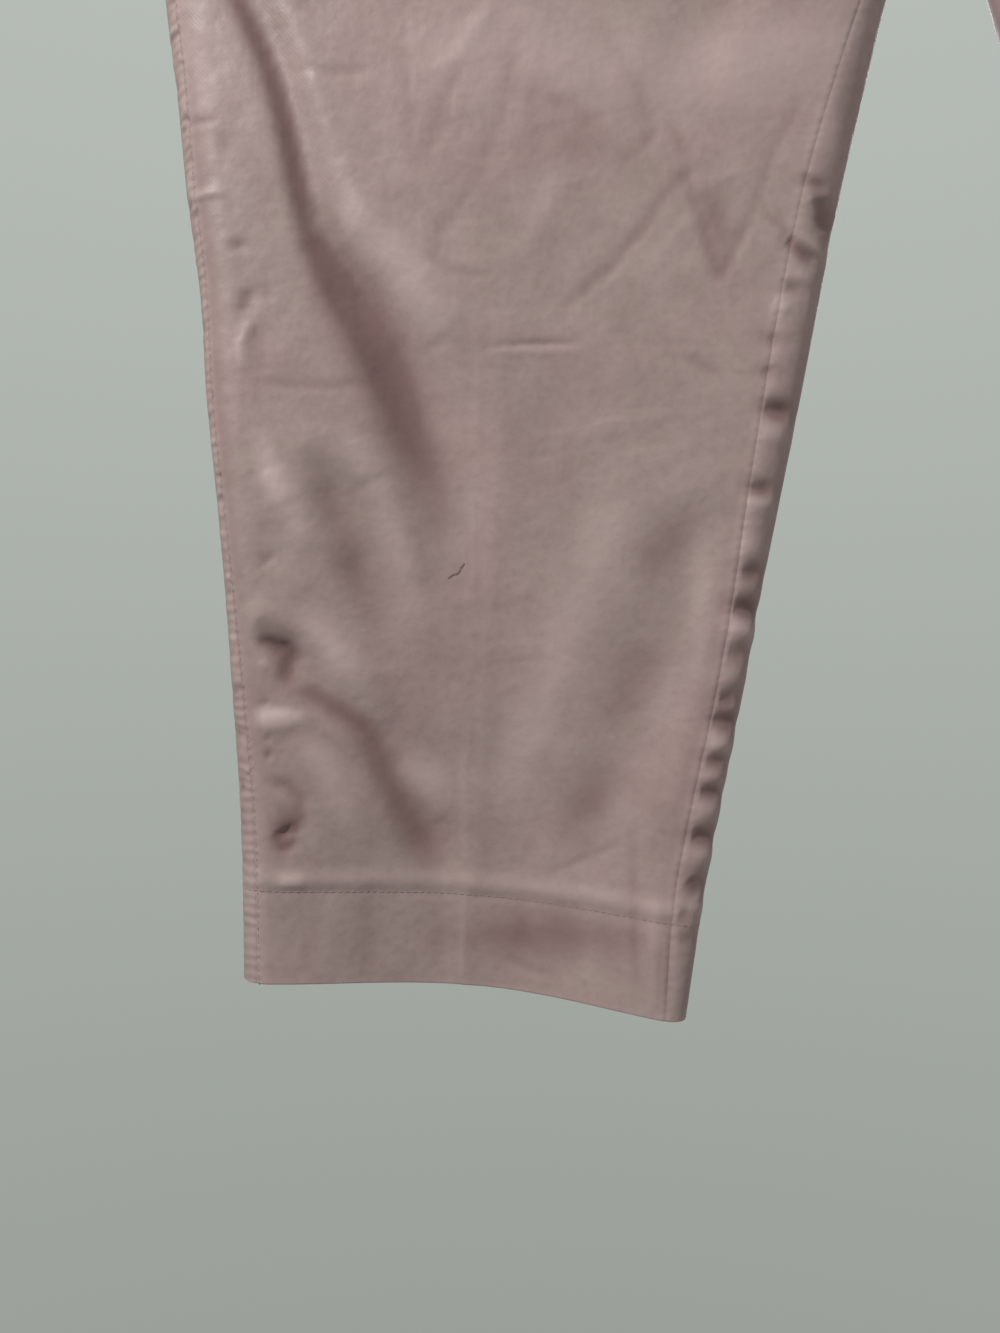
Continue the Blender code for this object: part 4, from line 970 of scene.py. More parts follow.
# %% [markdown]
# ## Waistband and fly
#
# The waistband is one strip of doubled cloth, cut straight and sewn round the top. Its lap
# crosses the centre front, and its underlap slides in behind. A flat strip could be bent round
# with a Curve modifier, but its edge would part from the panels here and there. So it follows
# the same rings as the panels and sits on their edge all the way round. The fly is the flap
# that hides the zip. It lies on the right front and is rounded at its lower end, where its
# stitching turns.

# %% Waistband
BAND_HEIGHT = 0.040
BAND_CLOTH = 0.0018
BAND_TURN = 0.0009
BAND_PROUD = 0.0005
BAND_DROP = 0.0004  # the band starts this much below the panels' upper edge
BAND_UNDERLAP = 0.030
BAND_SHIFT_START, BAND_SHIFT_END = 0.060, 0.016
BAND_COLUMNS = 420
QUARTER_POINTS = DENSE // 3  # along each quarter of the waist, before they are spaced out
BAND_ROWS, BAND_MARGIN = 14, 0.0025  # the rows between the two edges, and where they start
BAND_PUFF = 0.00035
FLY_LAP = 0.006
LAYER_GAP = 0.0005


def band_heights():
    edge = np.array(EDGE_ROWS)
    between = np.linspace(BAND_MARGIN, BAND_HEIGHT - BAND_MARGIN, BAND_ROWS)
    top = BAND_HEIGHT + BAND_DROP - edge[::-1]
    return WAIST_SEAM - BAND_DROP + np.concatenate((edge, between, top))


def band_grid(heights):
    """Rings round the waist, from the lap's end round the back to the underlap."""
    fraction = (1 - np.cos(np.linspace(0.0, math.pi, QUARTER_POINTS))) / 2
    right_front = layer(RIGHT, "front", heights, fraction)[:, ::-1]
    right_back = layer(RIGHT, "back", heights, fraction)
    left_back = layer(LEFT, "back", heights, fraction)[:, ::-1]
    left_front = layer(LEFT, "front", heights, fraction)
    lap = right_front[:, :1] + (FLY_LAP, 0.0, 0.0)
    underlap = left_front[:, -1:] - (BAND_UNDERLAP, 0.0, 0.0)
    ring = (lap, right_front, right_back[:, 1:], left_back[:, 1:], left_front[:, 1:], underlap)
    rows = []
    for points in np.concatenate(ring, axis=1):
        along = distances(points)
        rows.append(spaced(points, along, crowded(0.0, along[-1], BAND_COLUMNS)))
    return np.array(rows)


band_levels = band_heights()
middle = band_grid(band_levels)
band_normals = unit(np.cross(np.gradient(middle, axis=0), np.gradient(middle, axis=1)))
slide = (BAND_SHIFT_START - middle[..., 0]) / (BAND_SHIFT_START - BAND_SHIFT_END)
left_half = np.arange(BAND_COLUMNS) > BAND_COLUMNS / 2
shift = smooth_step(slide) * (left_half & (middle[..., 1] < 0))
from_edge = np.minimum(band_levels - band_levels[0], band_levels[-1] - band_levels)[:, None]
along = row_distances(middle)
from_end = np.minimum(along, along[:, -1:] - along)
turned = turned_edge(np.minimum(from_edge, from_end), BAND_TURN)
puff = BAND_PUFF * np.sin(math.pi * (band_levels - band_levels[0]) / BAND_HEIGHT)[:, None]
proud = BAND_PROUD + puff - turned - shift * (BAND_CLOTH + LAYER_GAP)
band_outer = middle + band_normals * proud[..., None]
band_inner = band_outer - band_normals * (BAND_CLOTH - 2 * turned)[..., None]
waistband = wall("waistband_cloth", band_outer, band_inner, band_normals)
print(f"waistband: {1000 * along[0, -1]:.0f} mm long, {len(waistband.data.polygons)} faces")

# %% Fly
FLY_WIDTH = 0.034
FLY_LENGTH = 0.150
FLY_ROUND = 0.045
FLY_CLOTH = 0.0011
FLY_TURN = 0.0005
FLY_LIFT = 0.0003
FLY_TOP = WAIST_SEAM - 0.0002
FLY_ROWS, FLY_COLUMNS = 150, 46
FLY_TIP = 0.004  # keeps the lower end a little wider than nothing
PROBE = 0.004  # from a place to the rows above and below that give its normal


def front_rows(x, heights):
    """Points and normals of the fronts near the centre line, for grids of x and height."""
    points, normals = np.empty((*x.shape, 3)), np.empty((*x.shape, 3))
    for i, z in enumerate(heights):
        sample = np.array((z - PROBE, z, z + PROBE))
        outer = size_at("outer", z)
        reach = np.linspace(0.0, max(np.abs(x[i]).max() + PROBE, PROBE), SPARSE)
        for side in (RIGHT, LEFT):
            mine = x[i] <= 0 if side == RIGHT else x[i] > 0
            lines = layer(side, "front", sample, 1 - reach / outer)
            rise = lines[2] - lines[0]
            run = np.gradient(lines[1], axis=0)
            facing = unit(np.cross(run, rise))
            facing *= -np.sign(facing[:, 1:2])
            for k in range(3):
                points[i, mine, k] = np.interp(np.abs(x[i, mine]), reach, lines[1, :, k])
                normals[i, mine, k] = np.interp(np.abs(x[i, mine]), reach, facing[:, k])
    return points, unit(normals)


def fly_width(heights):
    """From the centre line to the fly's outer edge, rounded in at the lower end."""
    low = WAIST_SEAM - FLY_LENGTH
    into_round = np.clip((low + FLY_ROUND - heights) / FLY_ROUND, 0.0, 1.0)
    return FLY_WIDTH * np.sqrt(np.clip(1 - into_round**2, FLY_TIP, 1.0))


fly_heights = np.linspace(WAIST_SEAM - FLY_LENGTH, FLY_TOP, FLY_ROWS)
share = np.linspace(0.0, 1.0, FLY_COLUMNS)
fly_x = -fly_width(fly_heights)[:, None] * (1 - share) + FLY_LAP * share
points, fly_normals = front_rows(fly_x, fly_heights)
along = row_distances(points)
from_side = np.minimum(along, along[:, -1:] - along)
from_side = np.minimum(from_side, (fly_heights - fly_heights[0])[:, None])
turned = turned_edge(from_side, FLY_TURN)
fly_outer = points + fly_normals * (FLY_LIFT + FLY_CLOTH - turned)[..., None]
fly_inner = points + fly_normals * FLY_LIFT
fly = wall("fly_cloth", fly_outer, fly_inner, fly_normals)
print("fly:", len(fly.data.polygons), "faces")

# %% [markdown]
# ## Stitching
#
# The outseams, the hems, the waistband and the fly show rows of small lockstitches in a thread
# a shade lighter than the cloth. One stitch is a short fat grain, pulled a little into the
# cloth at both ends. An Array modifier on a curve could repeat it, but not vary its length or
# keep it square to cloth that turns. Geometry Nodes do both: the line becomes points at the
# stitch length, and a grain is set on each, turned along the line and square to the cloth.

# %% Stitch tree
STITCH_PITCH = 0.0029
STITCH_LENGTH = 0.0023
STITCH_WIDTH = 0.00048
HEM_STITCH_WIDTH = 0.0003
STITCH_SEED = 5
SHORTEST, LONGEST = 0.86, 1.08  # shares of the stitch length
GRAIN_SIDES, GRAIN_RINGS = 6, 4
GRAIN_RADIUS = 0.5  # a grain one across takes its size from its scale


def stitch_tree():
    """A grain at each step along a line, turned along the line and square to the cloth."""
    tree = bpy.data.node_groups.new("stitches along a line", "GeometryNodeTree")
    face = tree.interface
    face.new_socket("Geometry", in_out="INPUT", socket_type="NodeSocketGeometry")
    for name in ("Pitch", "Length", "Width"):
        face.new_socket(name, in_out="INPUT", socket_type="NodeSocketFloat")
    face.new_socket("Seed", in_out="INPUT", socket_type="NodeSocketInt")
    face.new_socket("Thread", in_out="INPUT", socket_type="NodeSocketMaterial")
    face.new_socket("Geometry", in_out="OUTPUT", socket_type="NodeSocketGeometry")
    node = tree.nodes.new
    given, result = node("NodeGroupInput"), node("NodeGroupOutput")
    line = node("GeometryNodeMeshToCurve")
    points = node("GeometryNodeCurveToPoints")
    points.mode = "LENGTH"
    grain = node("GeometryNodeMeshUVSphere")
    grain.inputs["Segments"].default_value = GRAIN_SIDES
    grain.inputs["Rings"].default_value = GRAIN_RINGS
    grain.inputs["Radius"].default_value = GRAIN_RADIUS
    facing = node("GeometryNodeInputNamedAttribute")
    facing.data_type = "FLOAT_VECTOR"
    facing.inputs["Name"].default_value = "facing"
    along = node("FunctionNodeAlignRotationToVector")
    along.axis = "X"
    square = node("FunctionNodeAlignRotationToVector")
    square.axis, square.pivot_axis = "Z", "X"
    size = node("ShaderNodeCombineXYZ")
    vary = node("FunctionNodeRandomValue")
    vary.data_type = "FLOAT"
    vary.inputs["Min"].default_value = SHORTEST
    vary.inputs["Max"].default_value = LONGEST
    longer = node("ShaderNodeMath")
    longer.operation = "MULTIPLY"
    place = node("GeometryNodeInstanceOnPoints")
    real = node("GeometryNodeRealizeInstances")
    smooth = node("GeometryNodeSetShadeSmooth")
    finish = node("GeometryNodeSetMaterial")
    joins = (
        (given, "Geometry", line, "Mesh"),
        (line, "Curve", points, "Curve"),
        (given, "Pitch", points, "Length"),
        (points, "Tangent", along, "Vector"),
        (along, "Rotation", square, "Rotation"),
        (facing, "Attribute", square, "Vector"),
        (given, "Seed", vary, "Seed"),
        (vary, "Value", longer, 0),
        (given, "Length", longer, 1),
        (longer, "Value", size, "X"),
        (given, "Width", size, "Y"),
        (given, "Width", size, "Z"),
        (points, "Points", place, "Points"),
        (grain, "Mesh", place, "Instance"),
        (square, "Rotation", place, "Rotation"),
        (size, "Vector", place, "Scale"),
        (place, "Instances", real, "Geometry"),
        (real, "Geometry", smooth, "Geometry"),
        (smooth, "Geometry", finish, "Geometry"),
        (given, "Thread", finish, "Material"),
        (finish, "Geometry", result, "Geometry"),
    )
    for giver, output, taker, socket in joins:
        tree.links.new(giver.outputs[output], taker.inputs[socket])
    return tree


STITCHES = stitch_tree()
print("nodes in the stitch tree:", len(STITCHES.nodes))

# %% Sewing along lines
SEWN = {}


def sew(name, lines, thread, width=STITCH_WIDTH):
    """A row of stitches along each line of (point, facing) pairs, as one plain mesh in SEWN."""
    mesh = bpy.data.meshes.new(name)
    points = np.concatenate([line[0] for line in lines])
    facing = np.concatenate([line[1] for line in lines])
    edges, first = [], 0
    for line, _ in lines:
        edges += [(k, k + 1) for k in range(first, first + len(line) - 1)]
        first += len(line)
    mesh.from_pydata(points.tolist(), edges, [])
    kept = mesh.attributes.new("facing", "FLOAT_VECTOR", "POINT")
    kept.data.foreach_set("vector", facing.astype(np.float32).ravel())
    piece = new_piece(name, mesh)
    modifier = piece.modifiers.new("stitches", "NODES")
    modifier.node_group = STITCHES
    sizes = {
        "Pitch": STITCH_PITCH,
        "Length": STITCH_LENGTH,
        "Width": width,
        "Seed": STITCH_SEED,
        "Thread": thread,
    }
    for item in STITCHES.interface.items_tree:
        if item.in_out == "INPUT" and item.name in sizes:
            modifier[item.identifier] = sizes[item.name]
    graph = bpy.context.evaluated_depsgraph_get()
    made = bpy.data.meshes.new_from_object(piece.evaluated_get(graph))
    made.materials.clear()
    made.materials.append(thread)
    piece.modifiers.clear()
    piece.data = made
    bpy.data.meshes.remove(mesh)
    print(f"{name}: {len(made.polygons)} faces")
    SEWN[name] = piece


def beside_outseam(panel, distance, first):
    """The line down a panel at a distance from its outseam, from one of its rows upwards."""
    points, facing = [], []
    rows = zip(panel.outer[first:], panel.normals[first:], row_distances(panel.outer[first:]))
    for row, normals, along in rows:
        points.append([np.interp(distance, along, row[:, i]) for i in range(3)])
        facing.append([np.interp(distance, along, normals[:, i]) for i in range(3)])
    return np.array(points), unit(np.array(facing))


def raised(line, lift):
    """A line lifted off the cloth, or sunk into it where the lift is below zero."""
    points, facing = line
    return points + facing * lift, facing


# %% [markdown]
# ## Finishes
#
# Sateen is woven with long floats side by side on its face, so it is smooth, with a soft lustre
# and almost no visible weave. Its dye has faded unevenly: patches lean to pink, others to a
# greyer rose. An image of cloth would have to be cut and matched at every seam, so noise on
# Object coordinates makes the patches. The floats run in one direction, so a fine rib in the
# cloth's own UV map, in metres, gives the grain. Broader noise rumples the surface a little, as
# in any cloth that was worn. Numbers kept on the mesh lighten what rubs, and lay painted shade
# in the hollows and painted highlights on the ridges and swells.

# %% Material helpers
WAVE_PERIOD = 2 * math.pi / 20  # of Blender's wave texture at scale 1


def new_material(name, constants):
    """A material whose shader holds these constants on its own sockets."""
    made = bpy.data.materials.new(name)
    made.use_nodes = True
    shader = made.node_tree.nodes["Principled BSDF"]
    for socket, value in constants.items():
        shader.inputs[socket].default_value = value
    return made, made.node_tree, shader


def noise(tree, coordinates, size, detail=2.0):
    """Noise whose patches are about that many metres across."""
    node = tree.nodes.new("ShaderNodeTexNoise")
    node.inputs["Scale"].default_value = 1 / size
    node.inputs["Detail"].default_value = detail
    tree.links.new(coordinates, node.inputs["Vector"])
    return node.outputs["Fac"]


def ribs(tree, coordinates, period, direction, distortion=0.6, detail=1.0):
    """Ribs that repeat at that many metres."""
    node = tree.nodes.new("ShaderNodeTexWave")
    node.bands_direction = direction
    node.inputs["Scale"].default_value = WAVE_PERIOD / period
    node.inputs["Distortion"].default_value = distortion
    node.inputs["Detail"].default_value = detail
    tree.links.new(coordinates, node.inputs["Vector"])
    return node.outputs["Fac"]


def stretch(tree, value, low, high, to_low=0.0, to_high=1.0):
    """Spreads a value that runs from low to high over another range."""
    node = tree.nodes.new("ShaderNodeMapRange")
    numbers = (low, high, to_low, to_high)
    for name, number in zip(("From Min", "From Max", "To Min", "To Max"), numbers):
        node.inputs[name].default_value = number
    tree.links.new(value, node.inputs["Value"])
    return node.outputs["Result"]


def blend_colours(tree, share, first, second):
    """Mixes two colours, each a tuple or the output of another node."""
    node = tree.nodes.new("ShaderNodeMix")
    node.data_type = "RGBA"
    tree.links.new(share, node.inputs["Factor"])
    for socket, colour in zip(("A", "B"), (first, second)):
        place = next(s for s in node.inputs if s.name == socket and s.type == "RGBA")
        if isinstance(colour, tuple):
            place.default_value = (*colour, 1.0)
        else:
            tree.links.new(colour, place)
    return next(s for s in node.outputs if s.type == "RGBA")


def bumps(tree, shader, layers):
    """Stacks (height, distance in metres) layers of relief and links them to the shader."""
    below = None
    for height, distance in layers:
        node = tree.nodes.new("ShaderNodeBump")
        node.inputs["Strength"].default_value = 1.0
        node.inputs["Distance"].default_value = distance
        tree.links.new(height, node.inputs["Height"])
        if below is not None:
            tree.links.new(below, node.inputs["Normal"])
        below = node.outputs["Normal"]
    tree.links.new(below, shader.inputs["Normal"])


def coordinates(tree, name):
    node = tree.nodes.new("ShaderNodeTexCoord")
    return node.outputs[name]


def attribute(tree, name):
    """A number that each point of the cloth keeps."""
    node = tree.nodes.new("ShaderNodeAttribute")
    node.attribute_name = name
    return node.outputs["Fac"]


def times(tree, first, second):
    node = tree.nodes.new("ShaderNodeMath")
    node.operation = "MULTIPLY"
    tree.links.new(first, node.inputs[0])
    tree.links.new(second, node.inputs[1])
    return node.outputs["Value"]


# %% Sateen
PINK = (0.412, 0.294, 0.278)
GREYED = (0.396, 0.302, 0.278)
# Paler colour for faded patches and real wear, and for painted highlights on ridges and swells
FADE_AND_HIGHLIGHT = (0.578, 0.442, 0.420)
# Darker colour for random patches, and for the painted shade in creases and folds
DARK_TONE_AND_SHADE = (0.258, 0.160, 0.150)
LUSTRE = {
    "Roughness": 0.5,
    "Specular IOR Level": 0.36,
    "Sheen Weight": 0.20,
    "Sheen Roughness": 0.45,
    "Sheen Tint": (0.94, 0.93, 1.0, 1.0),
}
# A mottle is noise of one size across; what lies from low to high of it runs from least to most.
Mottle = namedtuple("Mottle", "size detail low high least most")
DRIFT = Mottle(0.085, 3.0, 0.38, 0.62, 0.0, 1.0)  # from pink to the greyer rose and back
FADING = Mottle(0.022, 4.0, 0.35, 0.75, 0.0, 0.32)
SHADING = Mottle(0.015, 3.0, 0.48, 0.75, 0.0, 0.18)
SPECKS = Mottle(0.0035, 2.0, 0.45, 0.80, 0.0, 0.20)
GLOSS = Mottle(0.012, 2.0, 0.30, 0.70, 0.46, 0.60)
RUMPLE_DETAIL = 3.0
RUMPLES = ((0.030, 0.0016), (0.0070, 0.00028))  # size across and height
TICK_WANDER, TICK_HEIGHT = 3.0, 0.00022
TWILL_PITCH, TWILL_HEIGHT = 0.00090, 0.000014


def mottled(tree, place, mottle):
    """Noise in patches of one size, between the mottle's least and most."""
    patches = noise(tree, place, mottle.size, mottle.detail)
    return stretch(tree, patches, mottle.low, mottle.high, mottle.least, mottle.most)


def sateen_material():
    """Mottled pink, rumpled and grained, with painted shade and highlights and paler wear."""
    made, tree, shader = new_material("dusty pink sateen", LUSTRE)
    place = coordinates(tree, "Object")
    cloth = coordinates(tree, "UV")
    mottles = [mottled(tree, place, mottle) for mottle in (DRIFT, FADING, SHADING, SPECKS)]
    colour = blend_colours(tree, mottles[0], PINK, GREYED)
    for share, other in zip(mottles[1:], (FADE_AND_HIGHLIGHT, DARK_TONE_AND_SHADE, DARK_TONE_AND_SHADE)):
        colour = blend_colours(tree, share, colour, other)
    # Painted shade: the numbers kept as deep darken the colour in creases and folds
    colour = blend_colours(tree, attribute(tree, "deep"), colour, DARK_TONE_AND_SHADE)
    # These numbers lighten the colour: real wear at edges and seams, and painted highlights on
    # ridges and swells
    colour = blend_colours(tree, attribute(tree, "wear_and_painted_highlight"), colour, FADE_AND_HIGHLIGHT)
    tree.links.new(colour, shader.inputs["Base Color"])
    tree.links.new(mottled(tree, place, GLOSS), shader.inputs["Roughness"])
    ticks = ribs(tree, cloth, PUCKER_STEP, "Y", distortion=TICK_WANDER)
    rumples = [(noise(tree, place, size, RUMPLE_DETAIL), height) for size, height in RUMPLES]
    layers = (
        *rumples,
        (times(tree, ticks, attribute(tree, "gathered")), TICK_HEIGHT),
        (ribs(tree, cloth, TWILL_PITCH, "DIAGONAL"), TWILL_HEIGHT),
    )
    bumps(tree, shader, layers)
    return made


SATEEN = sateen_material()

# %% [markdown]
# ## Thread, zip and button finishes
#
# Sewing thread is plies twisted together, so fine slanting ribs and a slight change of shade
# are enough for it. The zip is a woven tape with metal teeth pressed along its middle. The
# packed zip is one solid, so one material does both, with a band round the middle line. The
# button is pearly polyester: a slow wave swirls its two tones, under the shader's clear coat.

# %% Thread
THREAD_COLOUR = (0.470, 0.350, 0.325)
THREAD_SHADE = (0.320, 0.228, 0.210)
SOILED, SOILED_LIGHT = (0.30, 0.21, 0.19), (0.34, 0.24, 0.22)
TWIST_PITCH, TWIST_HEIGHT = 0.0004, 0.00005
THREAD_PATCH, PATCH_BLEND = 0.002, (0.3, 0.7)
THREAD_GLOSS = {"Roughness": 0.6, "Specular IOR Level": 0.3}


def thread_material(name, colour, shade):
    """Twisted thread in two shades."""
    made, tree, shader = new_material(name, THREAD_GLOSS)
    place = coordinates(tree, "Object")
    twist = ribs(tree, place, TWIST_PITCH, "DIAGONAL")
    share = stretch(tree, noise(tree, place, THREAD_PATCH), *PATCH_BLEND)
    tree.links.new(blend_colours(tree, share, colour, shade), shader.inputs["Base Color"])
    bumps(tree, shader, ((twist, TWIST_HEIGHT),))
    return made


THREAD = thread_material("rose sewing thread", THREAD_COLOUR, THREAD_SHADE)
LOOSE_THREAD = thread_material("soiled loose thread", SOILED, SOILED_LIGHT)

# %% Zip and button
TAPE = (0.330, 0.205, 0.190)
TEETH = (0.560, 0.540, 0.500)
ZIP_GLOSS = {"Roughness": 0.6, "Specular IOR Level": 0.4}
TEETH_HALF_WIDTH, TEETH_BLUR = 0.0030, 0.0002
TAPE_ROUGHNESS, TEETH_ROUGHNESS = 0.65, 0.32
TOOTH_PITCH, TOOTH_HEIGHT = 0.0016, 0.0003
WEAVE_PITCH, WEAVE_HEIGHT = 0.0004, 0.00003
PEARL, PEARL_LIGHT = (0.47, 0.33, 0.31), (0.62, 0.49, 0.46)
LACQUER = {
    "Roughness": 0.28,
    "Specular IOR Level": 0.5,
    "Coat Weight": 0.5,
    "Coat Roughness": 0.15,
}
SWIRL_WIDTH, SWIRL_WANDER, SWIRL_DETAIL = 0.006, 6.0, 2.0
PIT_SIZE, PIT_HEIGHT = 0.0015, 0.00003


def zip_material():
    """Woven tape with a band of metal teeth down the middle."""
    made, tree, shader = new_material("zip tape and teeth", ZIP_GLOSS)
    place = coordinates(tree, "Object")
    split = tree.nodes.new("ShaderNodeSeparateXYZ")
    tree.links.new(place, split.inputs["Vector"])
    size = tree.nodes.new("ShaderNodeMath")
    size.operation = "ABSOLUTE"
    tree.links.new(split.outputs["X"], size.inputs[0])
    inside, outside = TEETH_HALF_WIDTH - TEETH_BLUR, TEETH_HALF_WIDTH + TEETH_BLUR
    band = stretch(tree, size.outputs["Value"], inside, outside, 1.0, 0.0)
    tree.links.new(blend_colours(tree, band, TAPE, TEETH), shader.inputs["Base Color"])
    tree.links.new(band, shader.inputs["Metallic"])
    gloss = stretch(tree, band, 0.0, 1.0, TAPE_ROUGHNESS, TEETH_ROUGHNESS)
    tree.links.new(gloss, shader.inputs["Roughness"])
    layers = (
        (ribs(tree, place, TOOTH_PITCH, "Z"), TOOTH_HEIGHT),
        (ribs(tree, place, WEAVE_PITCH, "X"), WEAVE_HEIGHT),
    )
    bumps(tree, shader, layers)
    return made


def button_material():
    """Polyester with a pearly swirl and a fine lacquer."""
    made, tree, shader = new_material("pearly rose button", LACQUER)
    place = coordinates(tree, "Object")
    swirl = ribs(tree, place, SWIRL_WIDTH, "X", distortion=SWIRL_WANDER, detail=SWIRL_DETAIL)
    colour = blend_colours(tree, swirl, PEARL, PEARL_LIGHT)
    tree.links.new(colour, shader.inputs["Base Color"])
    bumps(tree, shader, ((noise(tree, place, PIT_SIZE), PIT_HEIGHT),))
    return made


ZIP = zip_material()
BUTTON = button_material()
for node_name, finish in (("zip", ZIP), ("button", BUTTON)):
    for material_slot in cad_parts[node_name].material_slots:
        material_slot.material = finish
print("finishes:", sorted(made.name for made in bpy.data.materials if made.users))

# %% [markdown]
# ## Painted shade and painted highlights where the cloth is folded
#
# Painted shade: the colour is made darker and redder along the hollows of the folds, and a
# painted highlight makes it paler over the swells. A shader that darkens every hollow would
# treat them all alike, so the bands are listed one by one. Each is a path like that of a fold,
# and its last number is a share of the painted shade: above zero for a dip, below zero for a
# painted highlight on a swell.

# %% Painted shade in the hollows of the right front
PAINTED_FOLD_SHADE = (
    (  # down the outer slope of the long fold
        (0.3023, -0.3427, 0.004, 0.004, 0.40), (0.2966, -0.3509, 0.006, 0.005, 0.90),
        (0.2905, -0.3635, 0.006, 0.005, 0.95), (0.2848, -0.3761, 0.006, 0.005, 0.95),
        (0.2776, -0.4017, 0.006, 0.005, 0.95), (0.2727, -0.4269, 0.007, 0.006, 0.80),
        (0.2700, -0.4400, 0.007, 0.005, 0.45), (0.2660, -0.4480, 0.012, 0.008, 0.75),
        (0.2590, -0.4601, 0.018, 0.012, 1.00), (0.2511, -0.4727, 0.021, 0.014, 1.10),
        (0.2438, -0.4827, 0.024, 0.016, 1.10), (0.2360, -0.5030, 0.026, 0.017, 0.95),
        (0.2290, -0.5235, 0.026, 0.018, 0.75), (0.2200, -0.5440, 0.022, 0.018, 0.50),
        (0.2110, -0.5750, 0.014, 0.014, 0.00),
    ),
    (  # beside the knee
        (0.2720, -0.5304, 0.006, 0.006, 0.00), (0.2640, -0.5501, 0.011, 0.010, 0.34),
        (0.2559, -0.5666, 0.012, 0.011, 0.40), (0.2487, -0.5898, 0.014, 0.012, 0.40),
        (0.2397, -0.6133, 0.007, 0.007, 0.00),
    ),
    (  # under the tuck by the outseam
        (0.2880, -0.6043, 0.004, 0.004, 0.00), (0.2856, -0.6135, 0.006, 0.006, 0.60),
        (0.2791, -0.6197, 0.008, 0.006, 0.60), (0.2767, -0.6343, 0.005, 0.005, 0.30),
        (0.2706, -0.6352, 0.006, 0.006, 0.55), (0.2589, -0.6428, 0.007, 0.007, 0.60),
        (0.2454, -0.6523, 0.009, 0.008, 0.65), (0.2360, -0.6747, 0.010, 0.010, 0.55),
        (0.2218, -0.7037, 0.012, 0.011, 0.50), (0.2150, -0.7189, 0.006, 0.006, 0.00),
    ),
    (  # the dent above the hem
        (0.2826, -0.6803, 0.004, 0.004, 0.00), (0.2770, -0.6880, 0.007, 0.007, 0.80),
        (0.2794, -0.6963, 0.009, 0.007, 1.00), (0.2819, -0.7063, 0.004, 0.004, 0.00),
    ),
    (  # beside the inseam, below the knee
        (0.1056, -0.5551, 0.008, 0.008, 0.00), (0.1186, -0.5748, 0.015, 0.012, 0.38),
        (0.1300, -0.5902, 0.008, 0.008, 0.00),
    ),
    (  # lower
        (0.1168, -0.6134, 0.008, 0.008, 0.00), (0.1323, -0.6336, 0.018, 0.014, 0.36),
        (0.1463, -0.6537, 0.008, 0.008, 0.00),
    ),
    (  # lowest
        (0.1359, -0.6663, 0.008, 0.008, 0.00), (0.1505, -0.6834, 0.016, 0.013, 0.50),
        (0.1631, -0.6993, 0.008, 0.008, 0.00),
    ),
    (  # the turned-up hem, where it bows back
        (0.2279, -0.7419, 0.010, 0.010, 0.00), (0.1977, -0.7421, 0.016, 0.016, 0.45),
        (0.1631, -0.7401, 0.017, 0.017, 0.70), (0.1355, -0.7405, 0.012, 0.012, 0.50),
        (0.1258, -0.7414, 0.006, 0.006, 0.00),
    ),
    (  # the turned-up hem, beside the inseam
        (0.1290, -0.7230, 0.005, 0.005, 0.00), (0.1240, -0.7450, 0.007, 0.007, 0.35),
        (0.1215, -0.7660, 0.006, 0.006, 0.25),
    ),
    (  # along the crotch
        (0.0921, -0.4198, 0.008, 0.008, 0.00), (0.1014, -0.4380, 0.009, 0.009, 0.35),
        (0.0972, -0.4573, 0.009, 0.009, 0.30), (0.0877, -0.4730, 0.006, 0.006, 0.00),
    ),
    (  # above the knee
        (0.1808, -0.3891, 0.012, 0.012, 0.00), (0.1643, -0.3984, 0.014, 0.014, 0.18),
        (0.1436, -0.4153, 0.014, 0.014, 0.18), (0.1229, -0.4317, 0.010, 0.010, 0.00),
    ),
    (  # the strip along the inseam
        (0.0370, -0.3753, 0.006, 0.006, 0.00), (0.0480, -0.4079, 0.009, 0.009, 0.20),
        (0.0680, -0.4815, 0.011, 0.009, 0.36), (0.0850, -0.5638, 0.013, 0.009, 0.50),
        (0.1030, -0.6635, 0.013, 0.009, 0.50), (0.1170, -0.7474, 0.010, 0.009, 0.38),
        (0.1186, -0.7684, 0.006, 0.006, 0.00),
    ),
    (  # the strip along the outseam
        (0.3221, -0.3590, 0.006, 0.006, 0.00), (0.3141, -0.4120, 0.006, 0.007, 0.30),
        (0.3063, -0.5144, 0.006, 0.007, 0.38), (0.2971, -0.6384, 0.006, 0.007, 0.40),
        (0.2935, -0.7388, 0.006, 0.006, 0.24), (0.2926, -0.7597, 0.004, 0.004, 0.00),
    ),
    (  # outside the long fold
        (0.3081, -0.3671, 0.008, 0.008, 0.00), (0.2976, -0.4017, 0.009, 0.009, 0.15),
        (0.2871, -0.4343, 0.008, 0.008, 0.12), (0.2798, -0.4567, 0.006, 0.006, 0.00),
    ),
)
print("dark bands:", len(PAINTED_FOLD_SHADE))
